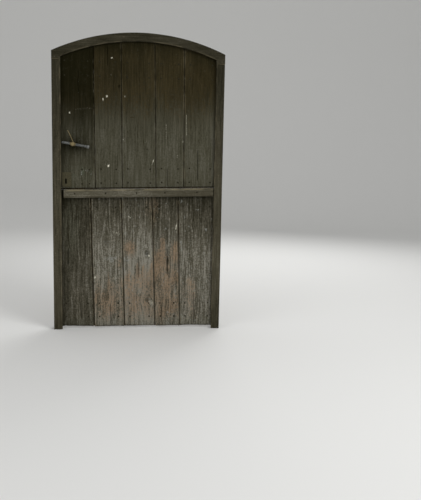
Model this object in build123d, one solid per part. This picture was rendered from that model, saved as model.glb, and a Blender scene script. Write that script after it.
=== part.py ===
from build123d import *
from math import acos, atan2, degrees, hypot, radians, sqrt, tan
import os

os.makedirs("parts", exist_ok=True)

# An arched door of two leaves, one above the other, in its wooden frame. All sizes are in
# millimetres. X runs to the right as seen from outside, Y into the building and Z up. The
# origin is on the sill, in the middle of the opening and of the door's depth.

# Opening and arch
OPENING_HALF = 450.0
CROWN_Z = 1699.0
ARCH_R = 1136.0
ARCH_X = 10.0
ARCH_Z = CROWN_Z - ARCH_R
SPRING_Z = ARCH_Z + sqrt(ARCH_R ** 2 - (OPENING_HALF + ARCH_X) ** 2)

# Depth of the door, from the boards' front plane backwards
FRONT_Y = -20.0
BOARD_T = 25.0
LEDGE_T = 28.0
BOARD_BACK = FRONT_Y + BOARD_T
LEDGE_BACK = BOARD_BACK + LEDGE_T

# Frame
FRAME_FACE = 50.0
LIP_T = 19.5
LIP_COVER = 12.0
STOP_GAP = 0.5
EDGE_GAP = 4.0
FRAME_SET_BACK = 1.0
SHOULDER_DROP = 17.0
SHOULDER_Z = SPRING_Z - SHOULDER_DROP
LIP_ARRIS = 4.0
STOP_Y = FRONT_Y - STOP_GAP
FRAME_FRONT = STOP_Y - LIP_T
FRAME_BACK = LEDGE_BACK - FRAME_SET_BACK
FRAME_HALF = OPENING_HALF + FRAME_FACE
LEAF_HALF = OPENING_HALF + LIP_COVER
REBATE_HALF = LEAF_HALF + EDGE_GAP
REBATE_DEPTH_Y = (STOP_Y + FRAME_BACK) / 2

# Corner joints of the frame
TENON_W = 20.0
TENON_T = 16.0
TENON_H = 30.0
TENON_FIT = 0.3
PEG_R = 5.0
PEG_FIT = 0.2
PEG_PROUD = 2.0
PEG_Z = SHOULDER_Z + 14.0

# Holes that take the bolts fixing each jamb to the wall
FIXING_R = 5.0
FIXING_LOW_Z = 320.0
FIXING_HIGH_Z = 1320.0

# The joint between the leaves and the rail that covers it, which climb to the right
JOINT_Z = 854.0
JOINT_TILT = 1.44
JOINT_SLOPE = tan(radians(JOINT_TILT))
LEAVES_GAP = 6.0
RAIL_PROUD = 2.0
RAIL_H = 51.0
RAIL_T = 20.0
RAIL_LEFT = -OPENING_HALF + 13.0
RAIL_RIGHT = OPENING_HALF - 3.0
RAIL_CHAMFER = 6.5

# Boards. A seam is given by its X at the foot and at the head of its leaf, for an opening
# of half width SEAMS_HALF, and keeps its share of any other.
SEAMS_HALF = 450.0
UPPER_FOOT_Z = 860.0
UPPER_HEAD_Z = SPRING_Z
UPPER_SEAMS = ((-252.5, -262.5), (-95.5, -103.5), (104.5, 91.0), (269.5, 263.5))
UPPER_SEAM_GAP = 3.0
LOWER_FOOT_Z = 10.0
LOWER_HEAD_Z = 785.0
LOWER_SEAMS = ((-261.5, -281.5), (-78.5, -100.5), (106.5, 81.0), (258.5, 236.5))
LOWER_SEAM_GAP = 7.0
LAP = 10.0
LAP_GAP = 1.0
BOARD_ARRIS = 1.5
BEAD_IN = 18.0
BEAD_W = 3.0
BEAD_DEPTH = 4.0

# Feet of the lower boards: how far each has rotted up from the foot, and the hollow in it
FOOT_DECAY = (2.0, 0.0, 3.0, 1.0, 2.5)
HOLLOW_R = 150.0
HOLLOW_DEPTH = 5.0
HOLLOW_SIDE = (-0.15, 0.2, -0.1, 0.15, -0.2)

# Ledges
LEDGE_IN = 7.0
LEDGE_HALF = LEAF_HALF - LEDGE_IN
LEDGE_H = 110.0
TILTED_LEDGE_H = 120.0
LEDGE_FROM_JOINT = 8.0
LEDGE_CHAMFER = 4.0
TOP_LEDGE_DROP = 62.0
UPPER_TOP_LEDGE_Z = SPRING_Z - TOP_LEDGE_DROP
LOWER_BOTTOM_LEDGE_Z = 115.0

# Clenched nails that hold the boards to the ledges
NAIL_SQUARE = 4.0
NAIL_HEAD = 10.0
NAIL_HEAD_T = 2.5
NAIL_INSET = 34.0
NAIL_ROW = 41.0
CLENCH = 12.0
CLENCH_T = 2.5
LOCK_SIDE_INSET = 132.0

# Strap hinges and pintles
PIN_OUT = 16.0
PIN_X = REBATE_HALF + PIN_OUT
PIN_R = 6.0
PIN_FIT = 0.05
STRAP_T = 5.0
STRAP_W = 44.0
STRAP_TIP_W = 28.0
STRAP_LENGTH = 577.0
STRAP_TIP_X = PIN_X - STRAP_LENGTH
STRAP_DISC_R = 20.0
ROLL_GAP = 0.8
PIN_RISE = 6.0
PIN_CHAMFER = 2.0
EYE_REST = 0.3
COLLAR_R = 9.0
COLLAR_H = 12.0
SHANK = 10.0
SHANK_FIT = 0.1
SHANK_DEEP = 45.0
EYE_R = PIN_R + PIN_FIT + STRAP_T
PIN_Y = LEDGE_BACK + EYE_R
STRAP_NAIL_HEAD_R = 6.0
STRAP_NAIL_HEAD_T = 2.5
STRAP_NAIL = 5.0
STRAP_NAIL_LENGTH = 26.0
STRAP_NAILS = 5
STRAP_NAIL_FIRST = PIN_X - 52.0
STRAP_NAIL_LAST = STRAP_TIP_X + 35.0
UPPER_TOP_HINGE_Z = UPPER_TOP_LEDGE_Z
UPPER_LOW_HINGE_Z = 935.0
LOWER_TOP_HINGE_Z = 790.0
LOWER_LOW_HINGE_Z = LOWER_BOTTOM_LEDGE_Z

# Latch: a lever outside and a bar inside on one spindle, stored with the bar lifted
SPINDLE_IN = 68.0
SPINDLE_X = -OPENING_HALF + SPINDLE_IN
SPINDLE_Z = 1107.5
SPINDLE_R = 6.0
SPINDLE_FIT = 0.3
HUB_FIT = 0.1
LEVER_DROP = 9.3
LEVER_Y = FRONT_Y - 22.0
LEVER_LEFT = 65.0
LEVER_RIGHT = 97.0
LEVER_R = 8.5
LEVER_END_R = 7.2
LEVER_TIP_W = 20.0
LEVER_TIP_T = 7.0
LEVER_TIP_LENGTH = 30.0
HUB_R = 12.5
HUB_T = 19.0
SPINDLE_HEAD_R = 9.0
SPINDLE_HEAD_T = 3.5
BLOCK_W = 112.0
BLOCK_H = 90.0
BLOCK_IN = 6.0
BLOCK_LEFT = -LEAF_HALF + BLOCK_IN
BLOCK_CHAMFER = 5.0
BAR_T = 8.0
BAR_GAP = 1.0
BAR_BOSS_R = 15.0
BAR_H = 14.0
BAR_ROOT_H = 18.0
BAR_REACH = 116.0
COTTER_R = 1.6
COTTER_LENGTH = 22.0
WASHER_T = 2.0
WASHER_R = 11.0
SPINDLE_END = 8.0
WIRE_R = 1.4
WIRE_TIP = (-28.0, 79.0)
WIRE_TURN = 325.0
WIRE_EASE = 4.0

# Bent staples: what guides or catches a bar stands this far off it
STAPLE_T = 3.0
STAPLE_FIT = 0.6
STAPLE_FOOT = 14.0
STAPLE_W = 24.0
KEEPER_IN = 4.0
KEEPER_X = -FRAME_HALF + KEEPER_IN
SMALL_NAIL = 2.6
SMALL_NAIL_LENGTH = 18.0
SMALL_NAIL_HEAD_R = 3.4
SMALL_NAIL_HEAD_T = 1.6
HOOK_REACH = 1.0
HOOK_T = 5.0
HOOK_RISE = 10.0
HOOK_PLATE_H = 46.0
GUIDE_X = BLOCK_LEFT + 16.0
GUIDE_W = 18.0

# Lock
CASE_IN = 3.0
CASE_LEFT = -LEDGE_HALF + CASE_IN
KEY_X = CASE_LEFT + 28.0
KEY_Z = 901.0
KEYHOLE_R = 5.5
KEYHOLE_SLOT_W = 10.0
KEYHOLE_SLOT_DROP = 25.0
KEY_WELL_W = 22.0
KEY_WELL_ABOVE = 14.0
KEY_WELL_BELOW = 30.0
CASE_W = 102.0
CASE_LOW_Z = KEY_Z - 39.0
CASE_H = 88.0
CASE_T = 22.0
CASE_WALL = 2.5
CASE_CHAMFER = 2.0
LOCK_BOLT_T = 10.0
LOCK_BOLT_H = 20.0
LOCK_BOLT_ABOVE_KEY = 11.0
LOCK_BOLT_LENGTH = 90.0
LOCK_BOLT_FIT = 0.4
LOCK_THROW = 28.0
LOCK_BOLT_CHAMFER = 1.5
TALON_W = 16.0
TALON_H = 5.0
STUMP_R = 3.5
STUMP_FIT = 0.3
LOCK_SPRING_T = 1.2
LOCK_SPRING_LENGTH = 48.0
LOCK_SPRING_FIT = 0.3
LOCK_SPRING_FOOT = 6.0
LOCK_SPRING_BOW = 0.7
SCREW_R = 2.2
SCREW_HEAD_R = 4.2
SCREW_HEAD_T = 2.0
SCREW_LENGTH = 20.0
FLANGE = 11.0
PLATE_T = 2.0
PLATE_LEFT = KEY_X - 23.0
PLATE_W = 55.0
PLATE_LOW_Z = KEY_Z - 43.0
PLATE_H = 85.0
PLATE_PIN_R = 1.8
PLATE_PIN_HEAD_R = 3.0
PLATE_PIN_LENGTH = 12.0
PLATE_PIN_IN = 6.0

# Slide bolt of the lower leaf
SLIDE_Z = 778.0
SLIDE_LEFT = -LEDGE_HALF + 1.0
SLIDE_LENGTH = 235.0
SLIDE_H = 22.0
SLIDE_T = 6.0
SLIDE_GAP = 1.0
SLIDE_STAPLES_X = (SLIDE_LEFT + 14.0, SLIDE_LEFT + 124.0)
KNOB_X = SLIDE_LEFT + 192.0
KNOB_R = 9.0
KNOB_LENGTH = 22.0
KNOB_STEM_R = 5.0

BEYOND = 1.0
TALL = 2000.0


# Shapes that are used again and again

def block(x0, x1, y0, y1, z0, z1):
    """A square-edged block between two corners."""
    low = (Align.MIN, Align.MIN, Align.MIN)
    return Pos(x0, y0, z0) * Box(x1 - x0, y1 - y0, z1 - z0, align=low)


def slab(outline, y0, y1):
    """A flat outline in X and Z made solid from y0 back to y1."""
    return Pos(0, y1, 0) * extrude(Plane.XZ * outline, y1 - y0)


def rod(x, z, r, y0, y1):
    """A round bar that runs into the door."""
    return Pos(x, (y0 + y1) / 2, z) * Rot(90, 0, 0) * Cylinder(r, y1 - y0)


def cone(x, z, r0, r1, y0, y1):
    """A tapering round piece, r0 at y0 and r1 at y1."""
    return Pos(x, (y0 + y1) / 2, z) * Rot(-90, 0, 0) * Cone(r0, r1, y1 - y0)


def cut(solid, tools):
    """The solid without the tools, with the cuts made together."""
    return solid - tools if tools else solid


def at_front(edges, y):
    """Those of the edges that lie in the plane y."""
    tolerance = 0.01
    return [e for e in edges if all(abs(v.Y - y) < tolerance for v in e.vertices())]


def upright(edges):
    """Those of the edges that run up the door."""
    shortest = 100.0
    return [e for e in edges if e.bounding_box().size.Z > shortest]


def through_edges(bar, x):
    """The two edges of a flat bar's end at x that run through its thickness."""
    at_end = [e for e in bar.edges() if abs(e.center().X - x) < BEYOND]
    return [e for e in at_end if e.bounding_box().size.Y > BEYOND]


def save(name, *solids):
    """Write one node: a single piece, or a group of like pieces."""
    export_step(Compound(children=list(solids)), f"parts/{name}.step")


# Frame

def under_arch(half, outward, z0, y0, y1):
    """What lies between two uprights and under an arch struck outside the lip's."""
    disc = rod(ARCH_X, ARCH_Z, ARCH_R + outward, y0, y1)
    return block(-half, half, y0, y1, z0, TALL) & disc


def joint_line(x, offset=0.0):
    """Height of the tilted joint between the leaves."""
    return JOINT_Z + offset + JOINT_SLOPE * x


def tenon_x(side):
    return side * (REBATE_HALF + FRAME_HALF) / 2


def tenon(side, fit):
    """The tenon on a jamb, or with a fit its mortise."""
    x = tenon_x(side)
    return block(
        x - TENON_W / 2 - fit, x + TENON_W / 2 + fit,
        REBATE_DEPTH_Y - TENON_T / 2 - fit, REBATE_DEPTH_Y + TENON_T / 2 + fit,
        SHOULDER_Z, SHOULDER_Z + TENON_H + fit,
    )


def peg(side, fit, proud):
    return rod(tenon_x(side), PEG_Z, PEG_R + fit, FRAME_FRONT - proud, FRAME_BACK + proud)


def pintle_hole(z):
    half = SHANK / 2 + SHANK_FIT
    bottom = FRAME_BACK - SHANK_DEEP - SHANK_FIT
    middle = shank_z(z)
    return block(PIN_X - half, PIN_X + half, bottom, FRAME_BACK + BEYOND, middle - half, middle + half)


def fixing_hole(side, z):
    length = 2 * FRAME_FACE
    x = side * FRAME_HALF
    return Pos(x, REBATE_DEPTH_Y, z) * Rot(0, 90, 0) * Cylinder(FIXING_R, length)


def jamb(side):
    inner = side * OPENING_HALF
    outer = side * FRAME_HALF
    post = block(min(inner, outer), max(inner, outer), FRAME_FRONT, FRAME_BACK, 0, SHOULDER_Z)
    rebate = side * REBATE_HALF
    clear = inner - side * BEYOND
    post -= block(min(clear, rebate), max(clear, rebate), STOP_Y, FRAME_BACK + BEYOND, -BEYOND, TALL)
    front_edges = upright(at_front(post.edges(), FRAME_FRONT))
    post = chamfer([e for e in front_edges if abs(e.center().X - inner) < BEYOND], LIP_ARRIS)
    post += tenon(side, 0)
    cuts = [peg(side, PEG_FIT, BEYOND)]
    cuts += [fixing_hole(side, z) for z in (FIXING_LOW_Z, FIXING_HIGH_Z)]
    if side > 0:
        cuts += [pintle_hole(z) for z in HINGE_HEIGHTS.values()]
    else:
        cuts += [small_nail_hole(x, z, FRAME_BACK) for x, z in KEEPER_NAILS]
    return cut(post, cuts)


def frame_head():
    """The arched head, cut from a wide plank, with its ends on the jambs' shoulders."""
    head = under_arch(FRAME_HALF, FRAME_FACE, SHOULDER_Z, FRAME_FRONT, FRAME_BACK)
    head -= under_arch(OPENING_HALF, 0, 0, FRAME_FRONT - BEYOND, FRAME_BACK + BEYOND)
    head -= under_arch(REBATE_HALF, LIP_COVER + EDGE_GAP, 0, STOP_Y, FRAME_BACK + BEYOND)
    lip_edges = []
    for edge in at_front(head.edges(), FRAME_FRONT):
        middle = edge.position_at(0.5)
        from_arch = sqrt((middle.X - ARCH_X) ** 2 + (middle.Z - ARCH_Z) ** 2) - ARCH_R
        if from_arch < BEYOND and abs(middle.X) < OPENING_HALF + BEYOND and middle.Z > SHOULDER_Z + BEYOND:
            lip_edges.append(edge)
    head = chamfer(lip_edges, LIP_ARRIS)
    mortises = [tenon(side, TENON_FIT) for side in (-1, 1)]
    peg_holes = [peg(side, PEG_FIT, BEYOND) for side in (-1, 1)]
    return cut(head, mortises + peg_holes)


# Boards and ledges

def seam_x(seam, z, foot_z, head_z):
    """Where a leaning seam lies at height z."""
    foot, head = seam
    return foot + (head - foot) * (z - foot_z) / (head_z - foot_z)


class Leaf:
    """What tells the two leaves apart: their seams, heights, outline and ledges."""

    def __init__(self, seams, gap, heights, envelope, ledges):
        share = OPENING_HALF / SEAMS_HALF
        seams = [(foot * share, head * share) for foot, head in seams]
        self.lines = [(-LEAF_HALF, -LEAF_HALF), *seams, (LEAF_HALF, LEAF_HALF)]
        self.gap = gap
        self.foot_z, self.head_z = heights
        self.envelope = envelope
        self.ledges = ledges

    def x(self, line, z):
        return seam_x(self.lines[line], z, self.foot_z, self.head_z)

    def strip(self, left, left_off, right, right_off, y0, y1):
        """A slab between two seam lines, each moved by an offset."""
        z0 = self.foot_z - LEDGE_H
        z1 = self.head_z + LEDGE_H
        corners = [
            (self.x(left, z0) + left_off, z0),
            (self.x(right, z0) + right_off, z0),
            (self.x(right, z1) + right_off, z1),
            (self.x(left, z1) + left_off, z1),
        ]
        return slab(Polygon(*corners, align=None), y0, y1)


def upper_envelope():
    leaf = under_arch(LEAF_HALF, LIP_COVER, 0, FRONT_Y, BOARD_BACK)
    z_left = joint_line(-LEAF_HALF, LEAVES_GAP)
    z_right = joint_line(LEAF_HALF, LEAVES_GAP)
    below = Polygon((-LEAF_HALF, 0), (LEAF_HALF, 0), (LEAF_HALF, z_right), (-LEAF_HALF, z_left), align=None)
    return leaf - slab(below, FRONT_Y, BOARD_BACK)


def lower_envelope():
    corners = [
        (-LEAF_HALF, LOWER_FOOT_Z), (LEAF_HALF, LOWER_FOOT_Z),
        (LEAF_HALF, joint_line(LEAF_HALF, -RAIL_PROUD)), (-LEAF_HALF, joint_line(-LEAF_HALF, -RAIL_PROUD)),
    ]
    return slab(Polygon(*corners, align=None), FRONT_Y, BOARD_BACK)


def board(leaf, index, cuts):
    """One board: its front half runs from gap to gap, its back half laps under the next."""
    middle = FRONT_Y + BOARD_T / 2
    last = len(leaf.lines) - 2
    left_gap = leaf.gap / 2 if index > 0 else 0
    right_gap = leaf.gap / 2 if index < last else 0
    left_lap = left_gap + LAP + LAP_GAP if index > 0 else 0
    right_lap = right_gap + LAP if index < last else 0
    front = leaf.strip(index, left_gap, index + 1, -right_gap, FRONT_Y, middle) & leaf.envelope
    front = chamfer(upright(at_front(front.edges(), FRONT_Y)), BOARD_ARRIS)
    back = leaf.strip(index, left_lap, index + 1, right_lap, middle, BOARD_BACK) & leaf.envelope
    return cut(front + back, cuts)


def bead_groove(leaf, line):
    """The sunk line beside the first board's edge."""
    inner = -BEAD_IN - BEAD_W / 2
    return leaf.strip(line, inner, line, inner + BEAD_W, FRONT_Y - BEYOND, FRONT_Y + BEAD_DEPTH)


def rotten_foot(leaf, index):
    """What has gone from a lower board's foot: a thin strip and a shallow hollow."""
    left = leaf.x(index, LOWER_FOOT_Z)
    right = leaf.x(index + 1, LOWER_FOOT_Z)
    z = LOWER_FOOT_Z + FOOT_DECAY[index]
    x = (left + right) / 2 + HOLLOW_SIDE[index] * (right - left)
    reach = right - left
    strip = block(left - reach, right + reach, FRONT_Y - BEYOND, BOARD_BACK + BEYOND, 0, z)
    hollow = rod(x, z + HOLLOW_DEPTH - HOLLOW_R, HOLLOW_R, FRONT_Y - BEYOND, BOARD_BACK + BEYOND)
    return [strip, hollow]


def ledge_z(x, middle):
    """Middle height of a ledge: a number, or measured from the tilted joint."""
    level, from_joint = middle
    return joint_line(x, level) if from_joint else level


def ledge(middle, height, cuts):
    corners = []
    for x, side in ((-LEDGE_HALF, -1), (LEDGE_HALF, -1), (LEDGE_HALF, 1), (-LEDGE_HALF, 1)):
        corners.append((x, ledge_z(x, middle) + side * height / 2))
    timber = slab(Polygon(*corners, align=None), BOARD_BACK, LEDGE_BACK)
    long_edges = [e for e in at_front(timber.edges(), LEDGE_BACK) if e.length > LEDGE_HALF]
    return cut(chamfer(long_edges, LEDGE_CHAMFER), cuts)


UPPER_TOP = (UPPER_TOP_LEDGE_Z, False)
UPPER_LOW = (LEAVES_GAP + LEDGE_FROM_JOINT + TILTED_LEDGE_H / 2, True)
LOWER_TOP = (-RAIL_PROUD - LEDGE_FROM_JOINT - TILTED_LEDGE_H / 2, True)
LOWER_LOW = (LOWER_BOTTOM_LEDGE_Z, False)
RAIL_MIDDLE = -RAIL_H / 2

UPPER_HEIGHTS = (UPPER_FOOT_Z, UPPER_HEAD_Z)
LOWER_HEIGHTS = (LOWER_FOOT_Z, LOWER_HEAD_Z)
UPPER = Leaf(UPPER_SEAMS, UPPER_SEAM_GAP, UPPER_HEIGHTS, upper_envelope(), (UPPER_TOP, UPPER_LOW))
LOWER = Leaf(LOWER_SEAMS, LOWER_SEAM_GAP, LOWER_HEIGHTS, lower_envelope(), (LOWER_TOP, LOWER_LOW))


# Nails

def board_nails(leaf, index):
    """Places and clench directions of one board's nails, as (x, z, up)."""
    nails = []
    for middle in leaf.ledges:
        for row in (-1, 1):
            if middle == LOWER_TOP and row > 0:
                continue
            z = ledge_z((leaf.x(index, 0) + leaf.x(index + 1, 0)) / 2, middle) + row * NAIL_ROW
            on_lock = middle == UPPER_LOW and index == 0
            left = leaf.x(index, z) + (LOCK_SIDE_INSET if on_lock else NAIL_INSET)
            right = leaf.x(index + 1, z) - NAIL_INSET
            nails += [(left, z, -row), (right, z, -row)]
    return nails


def rail_nails():
    """One nail through the rail, the middle of each board and the ledge."""
    nails = []
    for index in range(len(LOWER.lines) - 1):
        z = joint_line(0, RAIL_MIDDLE)
        x = (LOWER.x(index, z) + LOWER.x(index + 1, z)) / 2
        nails.append((x, joint_line(x, RAIL_MIDDLE), -1))
    return nails


def nail_hole(x, z, y0):
    half = NAIL_SQUARE / 2
    return block(x - half, x + half, y0 - BEYOND, LEDGE_BACK + BEYOND, z - half, z + half)


def clenched_nail(x, z, up, y0):
    """A forged nail: a four-sided head, a square shank and a bent-over end."""
    half = NAIL_SQUARE / 2
    end = LEDGE_BACK + CLENCH_T
    shank = block(x - half, x + half, y0, end, z - half, z + half)
    tip = z + up * CLENCH
    bent = block(x - half, x + half, LEDGE_BACK, end, min(z, tip), max(z, tip))
    wide = Plane.XZ.offset(-y0) * Pos(x, z) * Rectangle(NAIL_HEAD, NAIL_HEAD)
    narrow = Plane.XZ.offset(NAIL_HEAD_T - y0) * Pos(x, z) * Rectangle(NAIL_SQUARE, NAIL_SQUARE)
    return shank + bent + loft([wide, narrow])


def small_nail(x, z, y):
    """A small nail driven forwards from the plane y, as in a staple's foot."""
    half = SMALL_NAIL / 2
    top = y + STAPLE_T
    shank = block(x - half, x + half, y - SMALL_NAIL_LENGTH, top, z - half, z + half)
    return shank + cone(x, z, SMALL_NAIL_HEAD_R, SMALL_NAIL, top, top + SMALL_NAIL_HEAD_T)


def small_nail_hole(x, z, y):
    half = SMALL_NAIL / 2
    return block(x - half, x + half, y - SMALL_NAIL_LENGTH, y + STAPLE_T + BEYOND, z - half, z + half)


# Strap hinges and pintles

HINGE_HEIGHTS = {
    "upper_top": UPPER_TOP_HINGE_Z,
    "upper_bottom": UPPER_LOW_HINGE_Z,
    "lower_top": LOWER_TOP_HINGE_Z,
    "lower_bottom": LOWER_LOW_HINGE_Z,
}


def strap_nail_xs():
    step = (STRAP_NAIL_LAST - STRAP_NAIL_FIRST) / (STRAP_NAILS - 1)
    return [STRAP_NAIL_FIRST + step * i for i in range(STRAP_NAILS)]


def strap_nail_shank(x, z):
    half = STRAP_NAIL / 2
    y = LEDGE_BACK + STRAP_T
    return block(x - half, x + half, y - STRAP_NAIL_LENGTH, y, z - half, z + half)


def strap_nail(x, z):
    y = LEDGE_BACK + STRAP_T
    head = cone(x, z, STRAP_NAIL_HEAD_R, STRAP_NAIL_HEAD_R / 2, y, y + STRAP_NAIL_HEAD_T)
    return strap_nail_shank(x, z) + head


def strap(z):
    """A tapering strap with a round end, rolled into an eye round the pin."""
    y0 = LEDGE_BACK
    y1 = LEDGE_BACK + STRAP_T
    outline = Polygon(
        (STRAP_TIP_X, z - STRAP_TIP_W / 2), (PIN_X - 2 * EYE_R, z - STRAP_W / 2), (PIN_X, z - STRAP_W / 2),
        (PIN_X, z + STRAP_W / 2), (PIN_X - 2 * EYE_R, z + STRAP_W / 2), (STRAP_TIP_X, z + STRAP_TIP_W / 2),
        align=None,
    )
    flat = slab(outline, y0, y1) + rod(STRAP_TIP_X, z, STRAP_DISC_R, y0, y1)
    eye = Pos(PIN_X, PIN_Y, z) * Cylinder(EYE_R, STRAP_W)
    slit = block(PIN_X - EYE_R - BEYOND, PIN_X - PIN_R, y1, y1 + ROLL_GAP, z - STRAP_W, z + STRAP_W)
    rolled = flat + (eye - slit)
    rolled -= Pos(PIN_X, PIN_Y, z) * Cylinder(PIN_R + PIN_FIT, 2 * STRAP_W)
    return cut(rolled, [strap_nail_shank(x, z) for x in strap_nail_xs()])


def shank_z(z):
    """Height of a pintle's shank: under the eye, at the top of its collar."""
    return z - STRAP_W / 2 - EYE_REST - SHANK / 2 - PIN_CHAMFER / 2


def pintle(z):
    """A pin on a collar, with a square shank driven into the jamb."""
    eye_low = z - STRAP_W / 2
    seat = eye_low - EYE_REST
    top = eye_low + STRAP_W + PIN_RISE
    pin = Pos(PIN_X, PIN_Y, (seat + top) / 2) * Cylinder(PIN_R, top - seat)
    pin = chamfer(pin.edges().sort_by(Axis.Z)[-1], PIN_CHAMFER)
    collar = Pos(PIN_X, PIN_Y, seat - COLLAR_H / 2) * Cylinder(COLLAR_R, COLLAR_H)
    half = SHANK / 2
    middle = shank_z(z)
    shank = block(PIN_X - half, PIN_X + half, FRAME_BACK - SHANK_DEEP, PIN_Y, middle - half, middle + half)
    return pin + collar + shank


# Staples and keepers

def staple(x, width, z0, z1, face, bar_back):
    """A bent strap over a bar that lies between z0 and z1, with a foot above and below."""
    inner0 = z0 - STAPLE_FIT
    inner1 = z1 + STAPLE_FIT
    reach = bar_back + STAPLE_FIT
    outer0 = inner0 - STAPLE_T
    outer1 = inner1 + STAPLE_T
    feet = block(x, x + width, face, face + STAPLE_T, outer0 - STAPLE_FOOT, outer1 + STAPLE_FOOT)
    arch = block(x, x + width, face, reach + STAPLE_T, outer0, outer1)
    way = block(x - BEYOND, x + width + BEYOND, face - BEYOND, reach, inner0, inner1)
    holes = [small_nail_hole(x + width / 2, z, face) for z in staple_nail_zs(z0, z1)]
    return cut(feet + arch, [way, *holes])


def staple_nail_zs(z0, z1):
    out = STAPLE_FIT + STAPLE_T + STAPLE_FOOT / 2
    return z0 - out, z1 + out


BAR_Y = LEDGE_BACK + BAR_GAP
SLIDE_Y = LEDGE_BACK + SLIDE_GAP
LOCK_BOLT_Y = LEDGE_BACK + (CASE_T - CASE_WALL - LOCK_BOLT_T) / 2
LOCK_BOLT_Z = KEY_Z + LOCK_BOLT_ABOVE_KEY
GUIDE_LIFT = (SPINDLE_X - GUIDE_X) * tan(radians(LEVER_DROP))
HOOK_SEAT_Z = SPINDLE_Z - BAR_ROOT_H / 2 - STAPLE_FIT

LOCK_KEEPER = (LOCK_BOLT_Z, LOCK_BOLT_Z + LOCK_BOLT_H)
SLIDE_KEEPER = (SLIDE_Z - SLIDE_H / 2, SLIDE_Z + SLIDE_H / 2)
LATCH_GUIDE = (SPINDLE_Z - BAR_ROOT_H / 2, SPINDLE_Z + BAR_ROOT_H / 2 + GUIDE_LIFT)
HOOK_NAILS_Z = (HOOK_SEAT_Z - HOOK_PLATE_H + STAPLE_FOOT / 2, HOOK_SEAT_Z - HOOK_T - STAPLE_FOOT / 2)
KEEPER_NAILS = [
    (KEEPER_X + STAPLE_W / 2, z)
    for pair in (staple_nail_zs(*LOCK_KEEPER), staple_nail_zs(*SLIDE_KEEPER), HOOK_NAILS_Z)
    for z in pair
]


def latch_keeper():
    """A hook that the latch bar drops into: a plate on the jamb, an arm and an upstand."""
    x0 = KEEPER_X
    x1 = KEEPER_X + STAPLE_W
    plate = block(x0, x1, FRAME_BACK, FRAME_BACK + STAPLE_T, HOOK_SEAT_Z - HOOK_PLATE_H, HOOK_SEAT_Z)
    out = BAR_Y + BAR_T + HOOK_REACH
    arm = block(x0, x1, FRAME_BACK, out + HOOK_T, HOOK_SEAT_Z - HOOK_T, HOOK_SEAT_Z)
    upstand = block(x0, x1, out, out + HOOK_T, HOOK_SEAT_Z - HOOK_T, HOOK_SEAT_Z + HOOK_RISE)
    tip = [e for e in (arm + upstand).edges() if e.center().Z > HOOK_SEAT_Z + HOOK_RISE - BEYOND]
    lead_in = [e for e in tip if e.bounding_box().size.X > BEYOND]
    hook = chamfer(lead_in, HOOK_T / 3)
    holes = [small_nail_hole(x0 + STAPLE_W / 2, z, FRAME_BACK) for z in HOOK_NAILS_Z]
    return cut(plate + hook, holes)


# Latch

def along_lever(solid):
    """Turn what is built level on the spindle to the stored, lifted position."""
    return Pos(SPINDLE_X, 0, SPINDLE_Z) * Rot(0, LEVER_DROP, 0) * solid


def lever_handle():
    """A forged lever: two tapering arms from a hub, the right one flattened at its end."""
    hub = Pos(0, LEVER_Y, 0) * Rot(90, 0, 0) * Cylinder(HUB_R, HUB_T)
    hub = chamfer(hub.edges(), PIN_CHAMFER)
    left = loft([
        Plane(origin=(0, LEVER_Y, 0), z_dir=(-1, 0, 0)) * Circle(LEVER_R),
        Plane(origin=(-LEVER_LEFT, LEVER_Y, 0), z_dir=(-1, 0, 0)) * Circle(LEVER_END_R),
    ])
    left_end = [e for e in left.edges() if e.center().X < -LEVER_LEFT + BEYOND]
    left = fillet(left_end, LEVER_END_R / 3)
    neck_x = LEVER_RIGHT - LEVER_TIP_LENGTH
    right = loft([
        Plane(origin=(0, LEVER_Y, 0), z_dir=(1, 0, 0)) * Circle(LEVER_R),
        Plane(origin=(neck_x, LEVER_Y, 0), z_dir=(1, 0, 0)) * Circle(LEVER_END_R),
    ])
    tip_plane = Plane(origin=(LEVER_RIGHT, LEVER_Y, 0), x_dir=(0, 1, 0), z_dir=(1, 0, 0))
    tip = loft([
        Plane(origin=(neck_x, LEVER_Y, 0), z_dir=(1, 0, 0)) * Circle(LEVER_END_R),
        tip_plane * Ellipse(LEVER_TIP_T / 2, LEVER_TIP_W / 2),
    ])
    bore = Pos(0, LEVER_Y, 0) * Rot(90, 0, 0) * Cylinder(SPINDLE_R + HUB_FIT, 2 * HUB_T)
    return along_lever(hub + left + right + tip - bore)


def wire_y():
    """The wire's turn lies between the hub and the spindle's head."""
    return LEVER_Y - HUB_T / 2 - WIRE_R - HUB_FIT


def lever_spindle():
    """A round spindle with a forged head outside and a hole for its cotter inside."""
    head_y = wire_y() - WIRE_R - HUB_FIT
    back = BAR_Y + BAR_T + WASHER_T + SPINDLE_END
    shaft = rod(0, 0, SPINDLE_R, head_y - SPINDLE_HEAD_T / 2, back)
    head = cone(0, 0, SPINDLE_HEAD_R * 2 / 3, SPINDLE_HEAD_R, head_y - SPINDLE_HEAD_T, head_y)
    hole = Pos(0, cotter_y(), 0) * Cylinder(COTTER_R, 4 * SPINDLE_R)
    return along_lever(shaft + head - hole)


def cotter_y():
    return BAR_Y + BAR_T + WASHER_T + COTTER_R + EYE_REST


def spindle_cotter():
    """A split pin through the spindle's end, with its loop above."""
    leg = Pos(0, cotter_y(), 0) * Cylinder(COTTER_R, COTTER_LENGTH)
    loop = Pos(0, cotter_y(), COTTER_LENGTH / 2 + COTTER_R) * Rot(90, 0, 0) * Torus(2 * COTTER_R, COTTER_R)
    return along_lever(leg + loop)


def spindle_washer():
    washer = rod(0, 0, WASHER_R, BAR_Y + BAR_T, BAR_Y + BAR_T + WASHER_T)
    return along_lever(washer - rod(0, 0, SPINDLE_R + HUB_FIT, BAR_Y, BAR_Y + 2 * BAR_T))


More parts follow.
